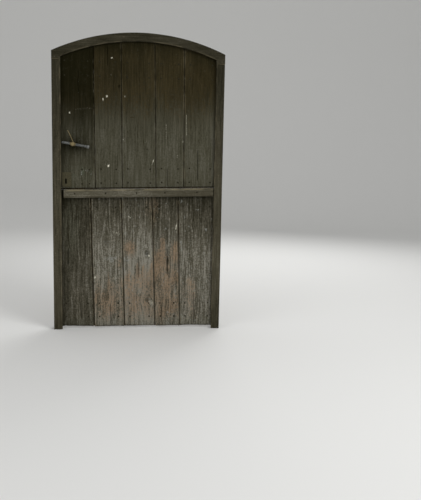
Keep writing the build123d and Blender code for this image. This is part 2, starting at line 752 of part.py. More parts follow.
def latch_bar():
    """The bar that drops into the keeper: a boss on the spindle and a tapering arm."""
    corners = [
        (0, -BAR_ROOT_H / 2), (0, BAR_ROOT_H / 2),
        (-BAR_REACH, BAR_H / 2), (-BAR_REACH, -BAR_H / 2),
    ]
    outline = Circle(BAR_BOSS_R) + Polygon(*corners, align=None)
    bar = slab(outline, BAR_Y, BAR_Y + BAR_T)
    bar = fillet(through_edges(bar, -BAR_REACH), BAR_H / 3)
    return along_lever(bar - rod(0, 0, SPINDLE_R + HUB_FIT, BAR_Y - BEYOND, BAR_Y + BAR_T + BEYOND))


def spindle_wire():
    """A loose end of wire: a turn under the spindle's head and a tail standing up."""
    ring_r = SPINDLE_R + WIRE_R + HUB_FIT
    away = hypot(*WIRE_TIP)
    leave = degrees(atan2(WIRE_TIP[1], WIRE_TIP[0]) - acos(ring_r / away)) - WIRE_EASE
    turn = CenterArc((SPINDLE_X, SPINDLE_Z), ring_r, leave - WIRE_TURN, WIRE_TURN)
    tip = (SPINDLE_X + WIRE_TIP[0], SPINDLE_Z + WIRE_TIP[1])
    tail = TangentArc(turn @ 1, tip, tangent=turn % 1)
    path = Pos(0, wire_y(), 0) * (Plane.XZ * (turn + tail))
    return sweep(Plane(origin=path @ 0, z_dir=path % 0) * Circle(WIRE_R), path=path)


def latch_block():
    """The packing block that brings the spindle's bearing out to the ledges' backs."""
    z0 = SPINDLE_Z - BLOCK_H / 2
    timber = block(BLOCK_LEFT, BLOCK_LEFT + BLOCK_W, BOARD_BACK, LEDGE_BACK, z0, z0 + BLOCK_H)
    timber = chamfer(at_front(timber.edges(), LEDGE_BACK), BLOCK_CHAMFER)
    cuts = [spindle_hole()]
    cuts += [small_nail_hole(GUIDE_X + GUIDE_W / 2, z, LEDGE_BACK) for z in staple_nail_zs(*LATCH_GUIDE)]
    return cut(timber, cuts)


def spindle_hole():
    return rod(SPINDLE_X, SPINDLE_Z, SPINDLE_R + SPINDLE_FIT, FRONT_Y - BEYOND, LEDGE_BACK + BEYOND)


# Lock

def keyhole():
    """The keyhole's outline: a round hole with a slot hanging from it."""
    slot = Pos(KEY_X, KEY_Z - KEYHOLE_SLOT_DROP / 2) * Rectangle(KEYHOLE_SLOT_W, KEYHOLE_SLOT_DROP)
    return Pos(KEY_X, KEY_Z) * Circle(KEYHOLE_R) + slot


def keyhole_cut():
    return slab(keyhole(), FRONT_Y - 2 * PLATE_T, LEDGE_BACK + 2 * CASE_T)


def key_well():
    """The roomy hole chiselled through board and ledge for the key, which the keyhole plate hides."""
    left, right = KEY_X - KEY_WELL_W / 2, KEY_X + KEY_WELL_W / 2
    return block(left, right, FRONT_Y - BEYOND, LEDGE_BACK + BEYOND, KEY_Z - KEY_WELL_BELOW, KEY_Z + KEY_WELL_ABOVE)


def plate_pins():
    """Where the keyhole plate's four pins are."""
    xs = (PLATE_LEFT + PLATE_PIN_IN, PLATE_LEFT + PLATE_W - PLATE_PIN_IN)
    zs = (PLATE_LOW_Z + PLATE_PIN_IN, PLATE_LOW_Z + PLATE_H - PLATE_PIN_IN)
    return [(x, z) for x in xs for z in zs]


def plate_pin_hole(x, z):
    return rod(x, z, PLATE_PIN_R, FRONT_Y - 2 * PLATE_T, FRONT_Y + PLATE_PIN_LENGTH)


def escutcheon():
    right = PLATE_LEFT + PLATE_W
    plate = block(PLATE_LEFT, right, FRONT_Y - PLATE_T, FRONT_Y, PLATE_LOW_Z, PLATE_LOW_Z + PLATE_H)
    corners = [e for e in plate.edges() if abs(e.bounding_box().size.Y - PLATE_T) < PLATE_T / 10]
    plate = chamfer(corners, PLATE_PIN_IN / 2)
    return cut(plate, [keyhole_cut()] + [plate_pin_hole(x, z) for x, z in plate_pins()])


def escutcheon_pin(x, z):
    shank = rod(x, z, PLATE_PIN_R, FRONT_Y - PLATE_T, FRONT_Y + PLATE_PIN_LENGTH)
    y = FRONT_Y - PLATE_T
    return shank + cone(x, z, PLATE_PIN_R, PLATE_PIN_HEAD_R, y - SCREW_HEAD_T / 2, y)


def lock_screws():
    """Where the screws go through the case's flanges."""
    xs = (CASE_LEFT + FLANGE / 2, CASE_LEFT + CASE_W - FLANGE / 2)
    zs = (CASE_LOW_Z + FLANGE / 2, CASE_LOW_Z + CASE_H - FLANGE / 2)
    return [(x, z) for x in xs for z in zs]


def screw_hole(x, z):
    return rod(x, z, SCREW_R, LEDGE_BACK - SCREW_LENGTH, LEDGE_BACK + CASE_T)


def lock_screw(x, z):
    y = LEDGE_BACK + CASE_WALL
    shank = rod(x, z, SCREW_R, LEDGE_BACK - SCREW_LENGTH, y)
    return shank + cone(x, z, SCREW_HEAD_R, SCREW_HEAD_R * 2 / 3, y, y + SCREW_HEAD_T)


def lock_bolt_bar(x0, x1, fit):
    """The bolt's bar from x0 to x1, or with a fit the way that it needs."""
    return block(
        x0, x1, LOCK_BOLT_Y - fit, LOCK_BOLT_Y + LOCK_BOLT_T + fit,
        LOCK_BOLT_Z - fit, LOCK_BOLT_Z + LOCK_BOLT_H + fit,
    )


def lock_case():
    """A pressed case, open towards the ledge, with a flange on its upper and lower sides."""
    x0 = CASE_LEFT
    x1 = CASE_LEFT + CASE_W
    z0 = CASE_LOW_Z
    z1 = CASE_LOW_Z + CASE_H
    back = LEDGE_BACK + CASE_T
    flange = block(x0, x1, LEDGE_BACK, LEDGE_BACK + CASE_WALL, z0, z1)
    box = block(x0, x1, LEDGE_BACK, back, z0 + FLANGE, z1 - FLANGE)
    shell = flange + chamfer(at_front(box.edges(), back), CASE_CHAMFER)
    inside = block(
        x0 + CASE_WALL, x1 - CASE_WALL, LEDGE_BACK - BEYOND, back - CASE_WALL,
        z0 + FLANGE + CASE_WALL, z1 - FLANGE - CASE_WALL,
    )
    mouth = lock_bolt_bar(x0 - BEYOND, x0 + 2 * CASE_WALL, LOCK_BOLT_FIT)
    return cut(shell, [inside, mouth, keyhole_cut()] + [screw_hole(x, z) for x, z in lock_screws()])


def stump_x():
    """The stump stands at the end of the bolt's slot when the bolt is drawn back."""
    return CASE_LEFT + CASE_WALL + LOCK_THROW + STUMP_R + STUMP_FIT + TALON_W


def lock_stump():
    """A fixed rivet between the case and the ledge that guides the bolt by its slot."""
    z = LOCK_BOLT_Z + LOCK_BOLT_H / 2
    return rod(stump_x(), z, STUMP_R, LEDGE_BACK, LEDGE_BACK + CASE_T - CASE_WALL)


def lock_bolt():
    """The bolt, with the talon that the key's bit turns in and a slot for the stump."""
    bolt = lock_bolt_bar(CASE_LEFT, CASE_LEFT + LOCK_BOLT_LENGTH, 0)
    nose = [e for e in bolt.edges() if e.center().X < CASE_LEFT + BEYOND and e.bounding_box().size.Z > BEYOND]
    bolt = chamfer(nose, LOCK_BOLT_CHAMFER)
    front = LOCK_BOLT_Y - BEYOND
    back = LOCK_BOLT_Y + LOCK_BOLT_T + BEYOND
    radius = STUMP_R + STUMP_FIT
    z = LOCK_BOLT_Z + LOCK_BOLT_H / 2
    x0 = stump_x()
    x1 = x0 + LOCK_THROW + STUMP_FIT
    slot = rod(x0, z, radius, front, back) + rod(x1, z, radius, front, back)
    slot += block(x0, x1, front, back, z - radius, z + radius)
    talon = block(KEY_X, KEY_X + TALON_W, front, back, LOCK_BOLT_Z - BEYOND, LOCK_BOLT_Z + TALON_H)
    return cut(bolt, [slot, talon])


def lock_spring():
    """A bowed leaf spring on the bolt's top that rubs under the case's upper wall."""
    x0 = CASE_LEFT + CASE_WALL + LOCK_THROW + STUMP_FIT
    x1 = x0 + LOCK_SPRING_LENGTH
    low = LOCK_BOLT_Z + LOCK_BOLT_H + LOCK_SPRING_T / 2
    high = CASE_LOW_Z + CASE_H - FLANGE - CASE_WALL - LOCK_SPRING_FIT - LOCK_SPRING_T / 2
    bend = x1 - LOCK_SPRING_FOOT
    foot = Line((x1, low), (bend, low))
    crown = low + (high - low) * LOCK_SPRING_BOW
    bow = ThreePointArc((bend, low), ((x0 + x1) / 2, crown), (x0, high))
    leaf = trace([foot, bow], LOCK_SPRING_T)
    return slab(leaf, LOCK_BOLT_Y + LOCK_BOLT_FIT, LOCK_BOLT_Y + LOCK_BOLT_T - LOCK_BOLT_FIT)


# Rail and slide bolt

def mid_rail():
    """The weather rail: a tilted batten with its upper front arris taken off."""
    corners = [
        (RAIL_LEFT, joint_line(RAIL_LEFT, -RAIL_H)), (RAIL_RIGHT, joint_line(RAIL_RIGHT, -RAIL_H)),
        (RAIL_RIGHT, joint_line(RAIL_RIGHT)), (RAIL_LEFT, joint_line(RAIL_LEFT)),
    ]
    rail = slab(Polygon(*corners, align=None), FRONT_Y - RAIL_T, FRONT_Y)
    front = at_front(rail.edges(), FRONT_Y - RAIL_T)
    top = max((e for e in front if e.length > LEDGE_HALF), key=lambda e: e.center().Z)
    rail = chamfer(top, RAIL_CHAMFER)
    return cut(rail, [nail_hole(x, z, FRONT_Y - RAIL_T) for x, z, _ in rail_nails()])


def slide_bolt():
    """A flat bar with a rounded nose and a hole for its knob's rivet."""
    low, high = SLIDE_KEEPER
    bar = block(SLIDE_LEFT, SLIDE_LEFT + SLIDE_LENGTH, SLIDE_Y, SLIDE_Y + SLIDE_T, low, high)
    bar = fillet(through_edges(bar, SLIDE_LEFT), SLIDE_H / 4)
    return bar - rod(KNOB_X, SLIDE_Z, KNOB_STEM_R, SLIDE_Y - BEYOND, SLIDE_Y + SLIDE_T + BEYOND)


def slide_bolt_knob():
    """A turned knob riveted into the bolt."""
    neck = SLIDE_Y + SLIDE_T
    end = neck + KNOB_LENGTH
    profile = make_face(Polyline(
        (0, SLIDE_Y), (KNOB_STEM_R, SLIDE_Y), (KNOB_STEM_R, neck),
        (KNOB_R * 0.8, neck), (KNOB_STEM_R, neck + KNOB_LENGTH / 3),
        (KNOB_R, neck + KNOB_LENGTH * 0.6), (KNOB_R, neck + KNOB_LENGTH * 0.85),
        (KNOB_R * 0.6, end), (0, end), (0, SLIDE_Y),
    ))
    return Pos(KNOB_X, 0, SLIDE_Z) * revolve(profile, Axis.Y)


# Writing the pieces

def write_frame():
    save("frame_jamb_lock_side", jamb(-1))
    save("frame_jamb_hinge_side", jamb(1))
    save("frame_head", frame_head())
    save("frame_pegs", *[peg(side, 0, PEG_PROUD) for side in (-1, 1)])
    for name, z in HINGE_HEIGHTS.items():
        save(f"pintle_{name}", pintle(z))
    save("latch_keeper", latch_keeper())
    save("lock_keeper", staple(KEEPER_X, STAPLE_W, *LOCK_KEEPER, FRAME_BACK, LOCK_BOLT_Y + LOCK_BOLT_T))
    save("slide_bolt_keeper", staple(KEEPER_X, STAPLE_W, *SLIDE_KEEPER, FRAME_BACK, SLIDE_Y + SLIDE_T))
    save("keeper_nails", *[small_nail(x, z, FRAME_BACK) for x, z in KEEPER_NAILS])


def write_straps(leaf_name):
    nails = []
    for name, z in HINGE_HEIGHTS.items():
        if name.startswith(leaf_name):
            save(f"{leaf_name}_strap_{name.split('_')[1]}", strap(z))
            nails += [strap_nail(x, z) for x in strap_nail_xs()]
    save(f"{leaf_name}_strap_nails", *nails)


def strap_nail_cuts(leaf_name):
    cuts = []
    for name, z in HINGE_HEIGHTS.items():
        if name.startswith(leaf_name):
            cuts += [strap_nail_shank(x, z) for x in strap_nail_xs()]
    return cuts


def write_boards(leaf, leaf_name, special):
    """The boards, and the nails that hold them. special(index) gives a board's own cuts."""
    nails = []
    for index in range(len(leaf.lines) - 1):
        places = board_nails(leaf, index)
        cuts = [nail_hole(x, z, FRONT_Y) for x, z, _ in places] + special(index)
        save(f"{leaf_name}_board_{index + 1}", board(leaf, index, cuts))
        nails += [clenched_nail(x, z, up, FRONT_Y) for x, z, up in places]
    save(f"{leaf_name}_board_nails", *nails)


def ledge_nail_cuts(leaf, middle):
    """The board nails' holes that fall in one ledge."""
    cuts = []
    for index in range(len(leaf.lines) - 1):
        for x, z, _ in board_nails(leaf, index):
            if abs(z - ledge_z(x, middle)) < LEDGE_H / 2:
                cuts.append(nail_hole(x, z, FRONT_Y))
    return cuts


def upper_special(index):
    if index > 0:
        return []
    pins = [plate_pin_hole(x, z) for x, z in plate_pins()]
    return [bead_groove(UPPER, 1), spindle_hole(), key_well(), *pins]


def lower_special(index):
    rail = [nail_hole(x, z, FRONT_Y - RAIL_T) for x, z, _ in rail_nails()[index:index + 1]]
    return rotten_foot(LOWER, index) + rail


def write_upper_leaf():
    write_boards(UPPER, "upper", upper_special)
    straps = strap_nail_cuts("upper")
    save("upper_ledge_top", ledge(UPPER_TOP, LEDGE_H, ledge_nail_cuts(UPPER, UPPER_TOP) + straps))
    low_cuts = ledge_nail_cuts(UPPER, UPPER_LOW) + straps + [key_well()]
    low_cuts += [screw_hole(x, z) for x, z in lock_screws()]
    save("upper_ledge_bottom", ledge(UPPER_LOW, TILTED_LEDGE_H, low_cuts))
    write_straps("upper")
    save("latch_block", latch_block())
    save("latch_guide", staple(GUIDE_X, GUIDE_W, *LATCH_GUIDE, LEDGE_BACK, BAR_Y + BAR_T))
    guide_nails = [small_nail(GUIDE_X + GUIDE_W / 2, z, LEDGE_BACK) for z in staple_nail_zs(*LATCH_GUIDE)]
    save("latch_guide_nails", *guide_nails)
    save("escutcheon", escutcheon())
    save("escutcheon_pins", *[escutcheon_pin(x, z) for x, z in plate_pins()])
    save("lock_case", lock_case())
    save("lock_stump", lock_stump())
    save("lock_screws", *[lock_screw(x, z) for x, z in lock_screws()])


def write_latch():
    save("lever_handle", lever_handle())
    save("lever_spindle", lever_spindle())
    save("spindle_wire", spindle_wire())
    save("latch_bar", latch_bar())
    save("spindle_washer", spindle_washer())
    save("spindle_cotter", spindle_cotter())


def write_lock_bolt():
    save("lock_bolt", lock_bolt())
    save("lock_spring", lock_spring())


def slide_staple_nails():
    return [(x + STAPLE_W / 2, z) for x in SLIDE_STAPLES_X for z in staple_nail_zs(*SLIDE_KEEPER)]


def write_lower_leaf():
    write_boards(LOWER, "lower", lower_special)
    straps = strap_nail_cuts("lower")
    top_cuts = ledge_nail_cuts(LOWER, LOWER_TOP) + straps
    top_cuts += [nail_hole(x, z, FRONT_Y) for x, z, _ in rail_nails()]
    top_cuts += [small_nail_hole(x, z, LEDGE_BACK) for x, z in slide_staple_nails()]
    save("lower_ledge_top", ledge(LOWER_TOP, TILTED_LEDGE_H, top_cuts))
    save("lower_ledge_bottom", ledge(LOWER_LOW, LEDGE_H, ledge_nail_cuts(LOWER, LOWER_LOW) + straps))
    write_straps("lower")
    save("mid_rail", mid_rail())
    heads = [clenched_nail(x, z, up, FRONT_Y - RAIL_T) for x, z, up in rail_nails()]
    save("mid_rail_nails", *heads)
    staples = [staple(x, STAPLE_W, *SLIDE_KEEPER, LEDGE_BACK, SLIDE_Y + SLIDE_T) for x in SLIDE_STAPLES_X]
    save("slide_bolt_staples", *staples)
    save("slide_bolt_staple_nails", *[small_nail(x, z, LEDGE_BACK) for x, z in slide_staple_nails()])


def write_slide_bolt():
    save("slide_bolt", slide_bolt())
    save("slide_bolt_knob", slide_bolt_knob())


write_frame()
write_upper_leaf()
write_latch()
write_lock_bolt()
write_lower_leaf()
write_slide_bolt()
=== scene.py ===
from collections import namedtuple
from math import cos, pi, radians, sin, tan

import bmesh
import bpy
import numpy as np
from bpy.props import FloatProperty, FloatVectorProperty, IntProperty, PointerProperty
from mathutils import Matrix, Vector


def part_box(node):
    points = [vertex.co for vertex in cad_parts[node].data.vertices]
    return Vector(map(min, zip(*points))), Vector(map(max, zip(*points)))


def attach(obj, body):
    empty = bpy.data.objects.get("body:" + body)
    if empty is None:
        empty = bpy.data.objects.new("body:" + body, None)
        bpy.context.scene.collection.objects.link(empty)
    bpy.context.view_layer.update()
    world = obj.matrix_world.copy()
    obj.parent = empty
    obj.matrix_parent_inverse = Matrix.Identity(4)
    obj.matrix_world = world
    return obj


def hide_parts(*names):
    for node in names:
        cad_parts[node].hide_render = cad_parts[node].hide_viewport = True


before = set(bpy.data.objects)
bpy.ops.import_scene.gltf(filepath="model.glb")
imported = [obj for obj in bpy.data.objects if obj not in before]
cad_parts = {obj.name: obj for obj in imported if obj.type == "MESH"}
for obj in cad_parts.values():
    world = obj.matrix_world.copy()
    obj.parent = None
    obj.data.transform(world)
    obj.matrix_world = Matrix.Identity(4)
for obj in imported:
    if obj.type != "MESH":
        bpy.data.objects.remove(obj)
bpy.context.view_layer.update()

bl_info = {
    "name": "Arched wooden door",
    "version": (1, 0, 0),
    "blender": (4, 5, 0),
    "location": "3D View > Sidebar > Door",
    "description": "Weathered boards, worn frame and forged ironwork of an arched two-leaf door",
    "category": "Object",
}


# Sizes and colours that a user would change

def tone(red, green, blue):
    """A colour given as it looks on a screen, from 0 to 255, made linear."""
    def linear(value):
        share = value / 255
        return share / 12.92 if share <= 0.04045 else ((share + 0.055) / 1.055) ** 2.4
    return (linear(red), linear(green), linear(blue))


def length(name, description, default):
    return FloatProperty(name=name, description=description, default=default, unit="LENGTH", precision=4)


def angle(name, description, degrees):
    return FloatProperty(name=name, description=description, default=radians(degrees), unit="ROTATION")


def power(name, description, default):
    return FloatProperty(name=name, description=description, default=default, unit="POWER")


def colour(name, description, *rgb):
    return FloatVectorProperty(
        name=name, description=description, default=tone(*rgb), size=3, subtype="COLOR", min=0.0, max=1.0
    )


def places(name, description, *values):
    return FloatVectorProperty(
        name=name, description=description, default=values, size=len(values), unit="LENGTH", precision=4
    )


def at(node, end, axis):
    """One coordinate of a CAD node's box."""
    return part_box(node)[end][axis]


class DoorShape(bpy.types.PropertyGroup):
    """Where the leaves and the frame lie"""
    opening_half: length("Half opening", "From the middle to the side of the opening", 0.450)
    lip_cover: length("Lip cover", "How far the frame's lip covers the boards", 0.012)
    edge_gap: length("Edge gap", "Gap between a leaf's edge and the rebate", 0.004)
    frame_face: length("Frame face", "Width of the frame seen from the front", 0.050)
    crown: length("Crown", "Height of the arch at its crown", 1.699)
    arch_radius: length("Arch radius", "Radius of the opening's arch", 1.136)
    arch_side: length("Arch side", "How far the arch's centre lies to the right", 0.010)
    joint_height: length("Joint height", "Height of the joint between the leaves at the middle", 0.854)
    joint_tilt: angle("Joint tilt", "How much the joint climbs to the right", 1.44)
    leaves_gap: length("Leaves gap", "Open gap above the rail", 0.006)
    rail_height: length("Rail height", "Height of the middle rail", 0.051)
    front: length("Front", "Plane of the boards' front", at("upper_board_3", 0, 1))
    board_back: length("Board back", "Plane of the boards' back", at("upper_board_3", 1, 1))
    ledge_back: length("Ledge back", "Plane of the ledges' back", at("upper_ledge_top", 1, 1))
    frame_front: length("Frame front", "Front plane of the frame", at("frame_jamb_lock_side", 0, 1))
    frame_back: length("Frame back", "Back plane of the frame", at("frame_jamb_lock_side", 1, 1))
    stop: length("Stop", "Plane of the lip's back, which the boards close on", -0.0205)
    shoulder: length("Shoulder", "Height where the head sits on the jambs", at("frame_head", 0, 2))
    upper_foot: places(
        "Upper seams, foot", "Seams of the upper leaf at its foot", -0.2525, -0.0955, 0.1045, 0.2695
    )
    upper_head: places(
        "Upper seams, head", "Seams of the upper leaf at its head", -0.2625, -0.1035, 0.0910, 0.2635
    )
    lower_foot: places(
        "Lower seams, foot", "Seams of the lower leaf at its foot", -0.2615, -0.0785, 0.1065, 0.2585
    )
    lower_head: places(
        "Lower seams, head", "Seams of the lower leaf at its head", -0.2815, -0.1005, 0.0810, 0.2365
    )
    upper_gap: length("Upper seam gap", "Open gap between the upper boards", 0.003)
    lower_gap: length("Lower seam gap", "Open gap between the lower boards", 0.007)
    lap: length("Lap", "How far a board laps behind the next", 0.010)


class DoorWear(bpy.types.PropertyGroup):
    """How the wood has worn"""
    arris: length("Worn arris", "Rounding of the boards' front edges", 0.0028)
    relief: length("Relief", "Depth of the weathered grain", 0.0007)
    cup: length("Cupping", "How hollow the boards have dried", 0.0009)
    foot: length("Foot wear", "Wood lost from the face of the lower feet", 0.0075)
    crack: length("Crack depth", "Depth of the open cracks", 0.0045)
    across: length("Mesh across", "Distance between mesh points across the grain", 0.0030)
    along: length("Mesh along", "Distance between mesh points along the grain", 0.0065)
    splinters: FloatProperty(
        name="Splinters", description="Torn fibres on a metre of board edge", default=34.0, min=0.0
    )
    seed: IntProperty(name="Seed", description="Changes every random feature together", default=7)


class DoorWood(bpy.types.PropertyGroup):
    """Colours of the wood"""
    # The darkest colour: dirt, and also painted shade under the arch, along the lock side, round the lever,
    # below the rail, along the foot, in cracks and checks and in the key's hole
    soot: colour("Soot", "Darkest dirt under the arch", 20, 18, 4)
    upper_dark: colour("Upper dark", "Furrows of the upper boards", 46, 43, 29)
    upper_mid: colour("Upper middle", "Face of the upper boards", 70, 68, 55)
    upper_pale: colour("Upper pale", "Ridges of the upper boards", 92, 90, 79)
    lower_dark: colour("Lower dark", "Furrows of the lower boards", 52, 49, 37)
    lower_mid: colour("Lower middle", "Face of the lower boards", 84, 80, 67)
    lower_pale: colour("Lower pale", "Ridges of the lower boards", 130, 127, 116)
    frame_dark: colour("Frame dark", "Furrows of the frame", 44, 41, 30)
    frame_mid: colour("Frame middle", "Face of the frame", 70, 66, 52)
    frame_pale: colour("Frame pale", "Ridges of the frame", 96, 92, 78)
    brown: colour("Brown", "Old brown stain under the arch", 58, 47, 20)
    bare: colour("Bare", "Reddish wood where the old finish has gone", 142, 118, 92)
    # Also paints the highlight on the rail's upper arris and the ledges' corners
    straw: colour("Straw", "Pale torn fibres and worn edges", 138, 128, 102)
    algae: colour("Algae", "Pale green film near the lock", 84, 94, 78)
    paint: colour("Paint", "Remains of grey paint", 142, 144, 138)
    splash: colour("Splash", "Spots of limewash", 226, 222, 202)
    inside: colour("Inside", "Dry wood of the back and the ledges", 112, 96, 72)


class DoorIron(bpy.types.PropertyGroup):
    """Colours of the ironwork"""
    forged: colour("Forged", "Dark skin of forged iron", 44, 42, 41)
    rust: colour("Rust", "Old brown rust", 78, 51, 34)
    fresh_rust: colour("Fresh rust", "Orange bloom of rust", 122, 76, 42)
    dirty: colour("Dirty", "Grime over the nails and the keyhole plate", 52, 49, 36)
    hub: colour("Hub", "Yellow-brown rust of the lever's hub and its wire", 120, 107, 75)
    steel: colour("Steel", "Grey steel of the lever", 66, 68, 66)
    rubbed: colour("Rubbed", "Bright metal rubbed by hands", 100, 101, 98)


class DoorStage(bpy.types.PropertyGroup):
    """Camera, lamps and floor"""
    camera: places("Camera", "Where the camera stands", -0.0498, -4.2177, 1.1146)
    yaw: angle("Yaw", "Camera's turn to the right", 6.656)
    pitch: angle("Pitch", "Camera's tilt downwards", 8.463)
    roll: angle("Roll", "Camera's roll", 1.267)
    lens: FloatProperty(name="Lens", description="Focal length on a 36 mm sensor, in mm", default=50.4)
    key: power("Key lamp", "Power of the lamp at the upper right", 105.0)
    fill: power("Fill lamp", "Power of the lamp at the left", 34.0)
    back: power("Back lamp", "Power of the lamp behind the door", 70.0)
    sky: FloatProperty(name="Sky", description="Strength of the even light all round", default=0.48)
    floor: colour("Floor", "Pale floor and backdrop", 226, 226, 224)


Settings = namedtuple("Settings", "shape wear wood iron stage")


def settings():
    """The five groups of settings, in a fixed order."""
    scene = bpy.context.scene
    return Settings(scene.door_shape, scene.door_wear, scene.door_wood, scene.door_iron, scene.door_stage)


# Steady random fields

def lattice(i, j, seed):
    """A random number from 0 to 1 for each whole-number place, the same on every run."""
    mask = 0xFFFFFFFF
    h = (i * 374761393 + j * 668265263 + seed * 362437) & mask
    h = ((h ^ (h >> 13)) * 1274126177) & mask
    return ((h ^ (h >> 16)) & 0xFFFF) / 65535.0


def field(u, v, seed):
    """Smooth noise from -1 to 1 with features one unit wide."""
    i, j = np.floor(u).astype(np.int64), np.floor(v).astype(np.int64)
    fu, fv = u - i, v - j
    fu, fv = fu * fu * (3 - 2 * fu), fv * fv * (3 - 2 * fv)
    low = lattice(i, j, seed) * (1 - fu) + lattice(i + 1, j, seed) * fu
    high = lattice(i, j + 1, seed) * (1 - fu) + lattice(i + 1, j + 1, seed) * fu
    return 2 * (low * (1 - fv) + high * fv) - 1


def layers(u, v, seed, count=3):
    """Noise in several layers, each half as wide and half as strong as the last."""
    total = sum(field(u * 2 ** k, v * 2 ** k, seed + k) / 2 ** k for k in range(count))
    return total / sum(1 / 2 ** k for k in range(count))


def rise(value, low, high):
    """0 below low, 1 above high and smooth between."""
    share = np.clip((value - low) / (high - low), 0, 1)
    return share * share * (3 - 2 * share)


def bell(value, middle, reach):
    """1 at the middle, falling off smoothly on both sides."""
    return np.exp(-((value - middle) / reach) ** 2)


def spot(x, z, middle_x, middle_z, reach_x, reach_z):
    """1 at the middle of an ellipse, falling to 0 at its rim."""
    away = ((x - middle_x) / reach_x) ** 2 + ((z - middle_z) / reach_z) ** 2
    return np.clip(1 - away, 0, 1)


def stroke(x, z, x0, z0, x1, z1, half):
    """1 on a line between two points, falling to 0 at half a width from it."""
    dx, dz = x1 - x0, z1 - z0
    share = np.clip(((x - x0) * dx + (z - z0) * dz) / (dx * dx + dz * dz), 0, 1)
    away = np.hypot(x - x0 - share * dx, z - z0 - share * dz)
    return np.clip(1 - away / half, 0, 1)


def strongest(masks):
    return np.maximum.reduce(list(masks))


# What the face of the door carries: places in metres from the middle of the sill

SPINDLE = Vector((-0.382, -0.042, 1.1075))
LEVER_DROP = radians(9.3)
LEVER_REACH = 0.0966
LEVER_TIP = (SPINDLE.x + LEVER_REACH * cos(LEVER_DROP), SPINDLE.y, SPINDLE.z - LEVER_REACH * sin(LEVER_DROP))

KNOTS = (
    # x, z, half width, half height, how dark, how deep
    (-0.1152, 1.4456, 0.0070, 0.0080, 1.0, 0.006),
    (0.0488, 1.0849, 0.0040, 0.0045, 1.0, 0.004),
    (-0.4139, 0.4634, 0.0090, 0.0200, 0.8, 0.001),
    (-0.4143, 0.4080, 0.0080, 0.0150, 0.7, 0.001),
    (0.0523, 0.4686, 0.0130, 0.0160, 0.9, 0.001),
    (0.1785, 0.4150, 0.0085, 0.0270, 0.9, 0.001),
    (0.1793, 0.3640, 0.0070, 0.0140, 0.8, 0.001),
    (-0.1870, 0.5330, 0.0160, 0.0260, 0.6, 0.001),
    (0.0645, 0.1751, 0.0200, 0.0130, 0.7, 0.002),
    (-0.1900, 0.1900, 0.0110, 0.0140, 0.5, 0.001),
    (-0.3400, 1.1900, 0.0080, 0.0110, 0.5, 0.001),
    (0.1950, 1.3900, 0.0100, 0.0140, 0.4, 0.001),
    (0.3600, 1.0300, 0.0120, 0.0150, 0.5, 0.001),
    (0.3300, 0.6400, 0.0090, 0.0130, 0.5, 0.001),
    (-0.0400, 1.2600, 0.0110, 0.0150, 0.4, 0.001),
)

CRACKS = (
    # x and z of the foot, x and z of the head, half width
    (0.0028, 0.3050, 0.0020, 0.4500, 0.0022),
    (0.1800, 0.3300, 0.1770, 0.4900, 0.0020),
    (-0.4150, 0.3700, -0.4130, 0.5100, 0.0018),
    (-0.3380, 0.0300, -0.3420, 0.1700, 0.0018),
    (0.3450, 0.0300, 0.3420, 0.2300, 0.0020),
    (-0.1600, 0.0250, -0.1640, 0.1500, 0.0022),
    (0.1450, 0.0250, 0.1470, 0.1400, 0.0018),
    (0.0300, 0.6700, 0.0290, 0.7800, 0.0016),
    (-0.1800, 1.5600, -0.1830, 1.6700, 0.0018),
    (0.3520, 0.9000, 0.3500, 1.1000, 0.0018),
    (0.1700, 0.8700, 0.1690, 0.9800, 0.0016),
    (-0.3500, 1.3800, -0.3510, 1.5500, 0.0014),
)

SPLASHES = (
    # x, z, half width, half height, how strong
    (-0.1585, 1.6061, 0.0085, 0.0050, 0.85),
    (-0.1607, 1.5093, 0.0045, 0.0085, 0.40),
    (-0.2083, 1.3683, 0.0055, 0.0110, 0.75),
    (-0.1865, 1.3860, 0.0075, 0.0105, 0.75),
    (-0.4005, 1.2866, 0.0062, 0.0060, 0.90),
    (-0.0815, 1.3891, 0.0080, 0.0070, 0.45),
    (0.0414, 1.1274, 0.0130, 0.0050, 0.35),
    (-0.1771, 0.9849, 0.0082, 0.0078, 1.0),
    (-0.1930, 0.9970, 0.0050, 0.0045, 0.4),
    (-0.1700, 0.9960, 0.0035, 0.0035, 0.4),
    (-0.0904, 1.1374, 0.0090, 0.0140, 0.35),
    (0.2614, 1.1352, 0.0060, 0.0060, 0.5),
    (0.0663, 0.4484, 0.0070, 0.0070, 0.8),
    (-0.0570, 0.6860, 0.0055, 0.0075, 0.55),
    (-0.0485, 0.6800, 0.0055, 0.0065, 0.70),
    (-0.2568, 0.3148, 0.0080, 0.0065, 0.85),
    (-0.1373, 0.3099, 0.0180, 0.0140, 0.40),
    (0.0798, 0.1594, 0.0200, 0.0190, 0.45),
    (0.2284, 1.0500, 0.0050, 0.0160, 0.35),
)

STROKES = (
    # x and z of one end, x and z of the other, half width, how strong
    (0.0889, 1.0258, 0.0852, 1.0150, 0.0036, 0.90),
    (0.0852, 1.0150, 0.0774, 0.9926, 0.0026, 0.50),
    (-0.1985, 0.9860, -0.1900, 0.9990, 0.0026, 0.35),
    (0.1604, 1.2362, 0.1612, 1.1500, 0.0040, 0.40),
    (0.2300, 0.6420, 0.2262, 0.6100, 0.0038, 0.90),
    (-0.1545, 0.5960, -0.1111, 0.5812, 0.0040, 0.60),
    (-0.2500, 0.3170, -0.2130, 0.3340, 0.0034, 0.35),
    (-0.2420, 0.3120, -0.2080, 0.3160, 0.0028, 0.30),
    (-0.3690, 1.3085, -0.2716, 1.3169, 0.0110, 0.22),
    (0.2796, 1.2950, 0.2813, 1.1700, 0.0050, 0.40),
    (0.3970, 0.5600, 0.3930, 0.4900, 0.0050, 0.30),
    (-0.3050, 0.6300, -0.3350, 0.6220, 0.0040, 0.30),
)

BARE_PATCHES = (
    # x, z, half width, half height, how strong
    (-0.045, 0.490, 0.055, 0.070, 0.90),
    (0.095, 0.730, 0.045, 0.110, 0.60),
    (0.060, 0.745, 0.030, 0.080, 0.55),
    (-0.110, 0.400, 0.040, 0.060, 0.60),
)

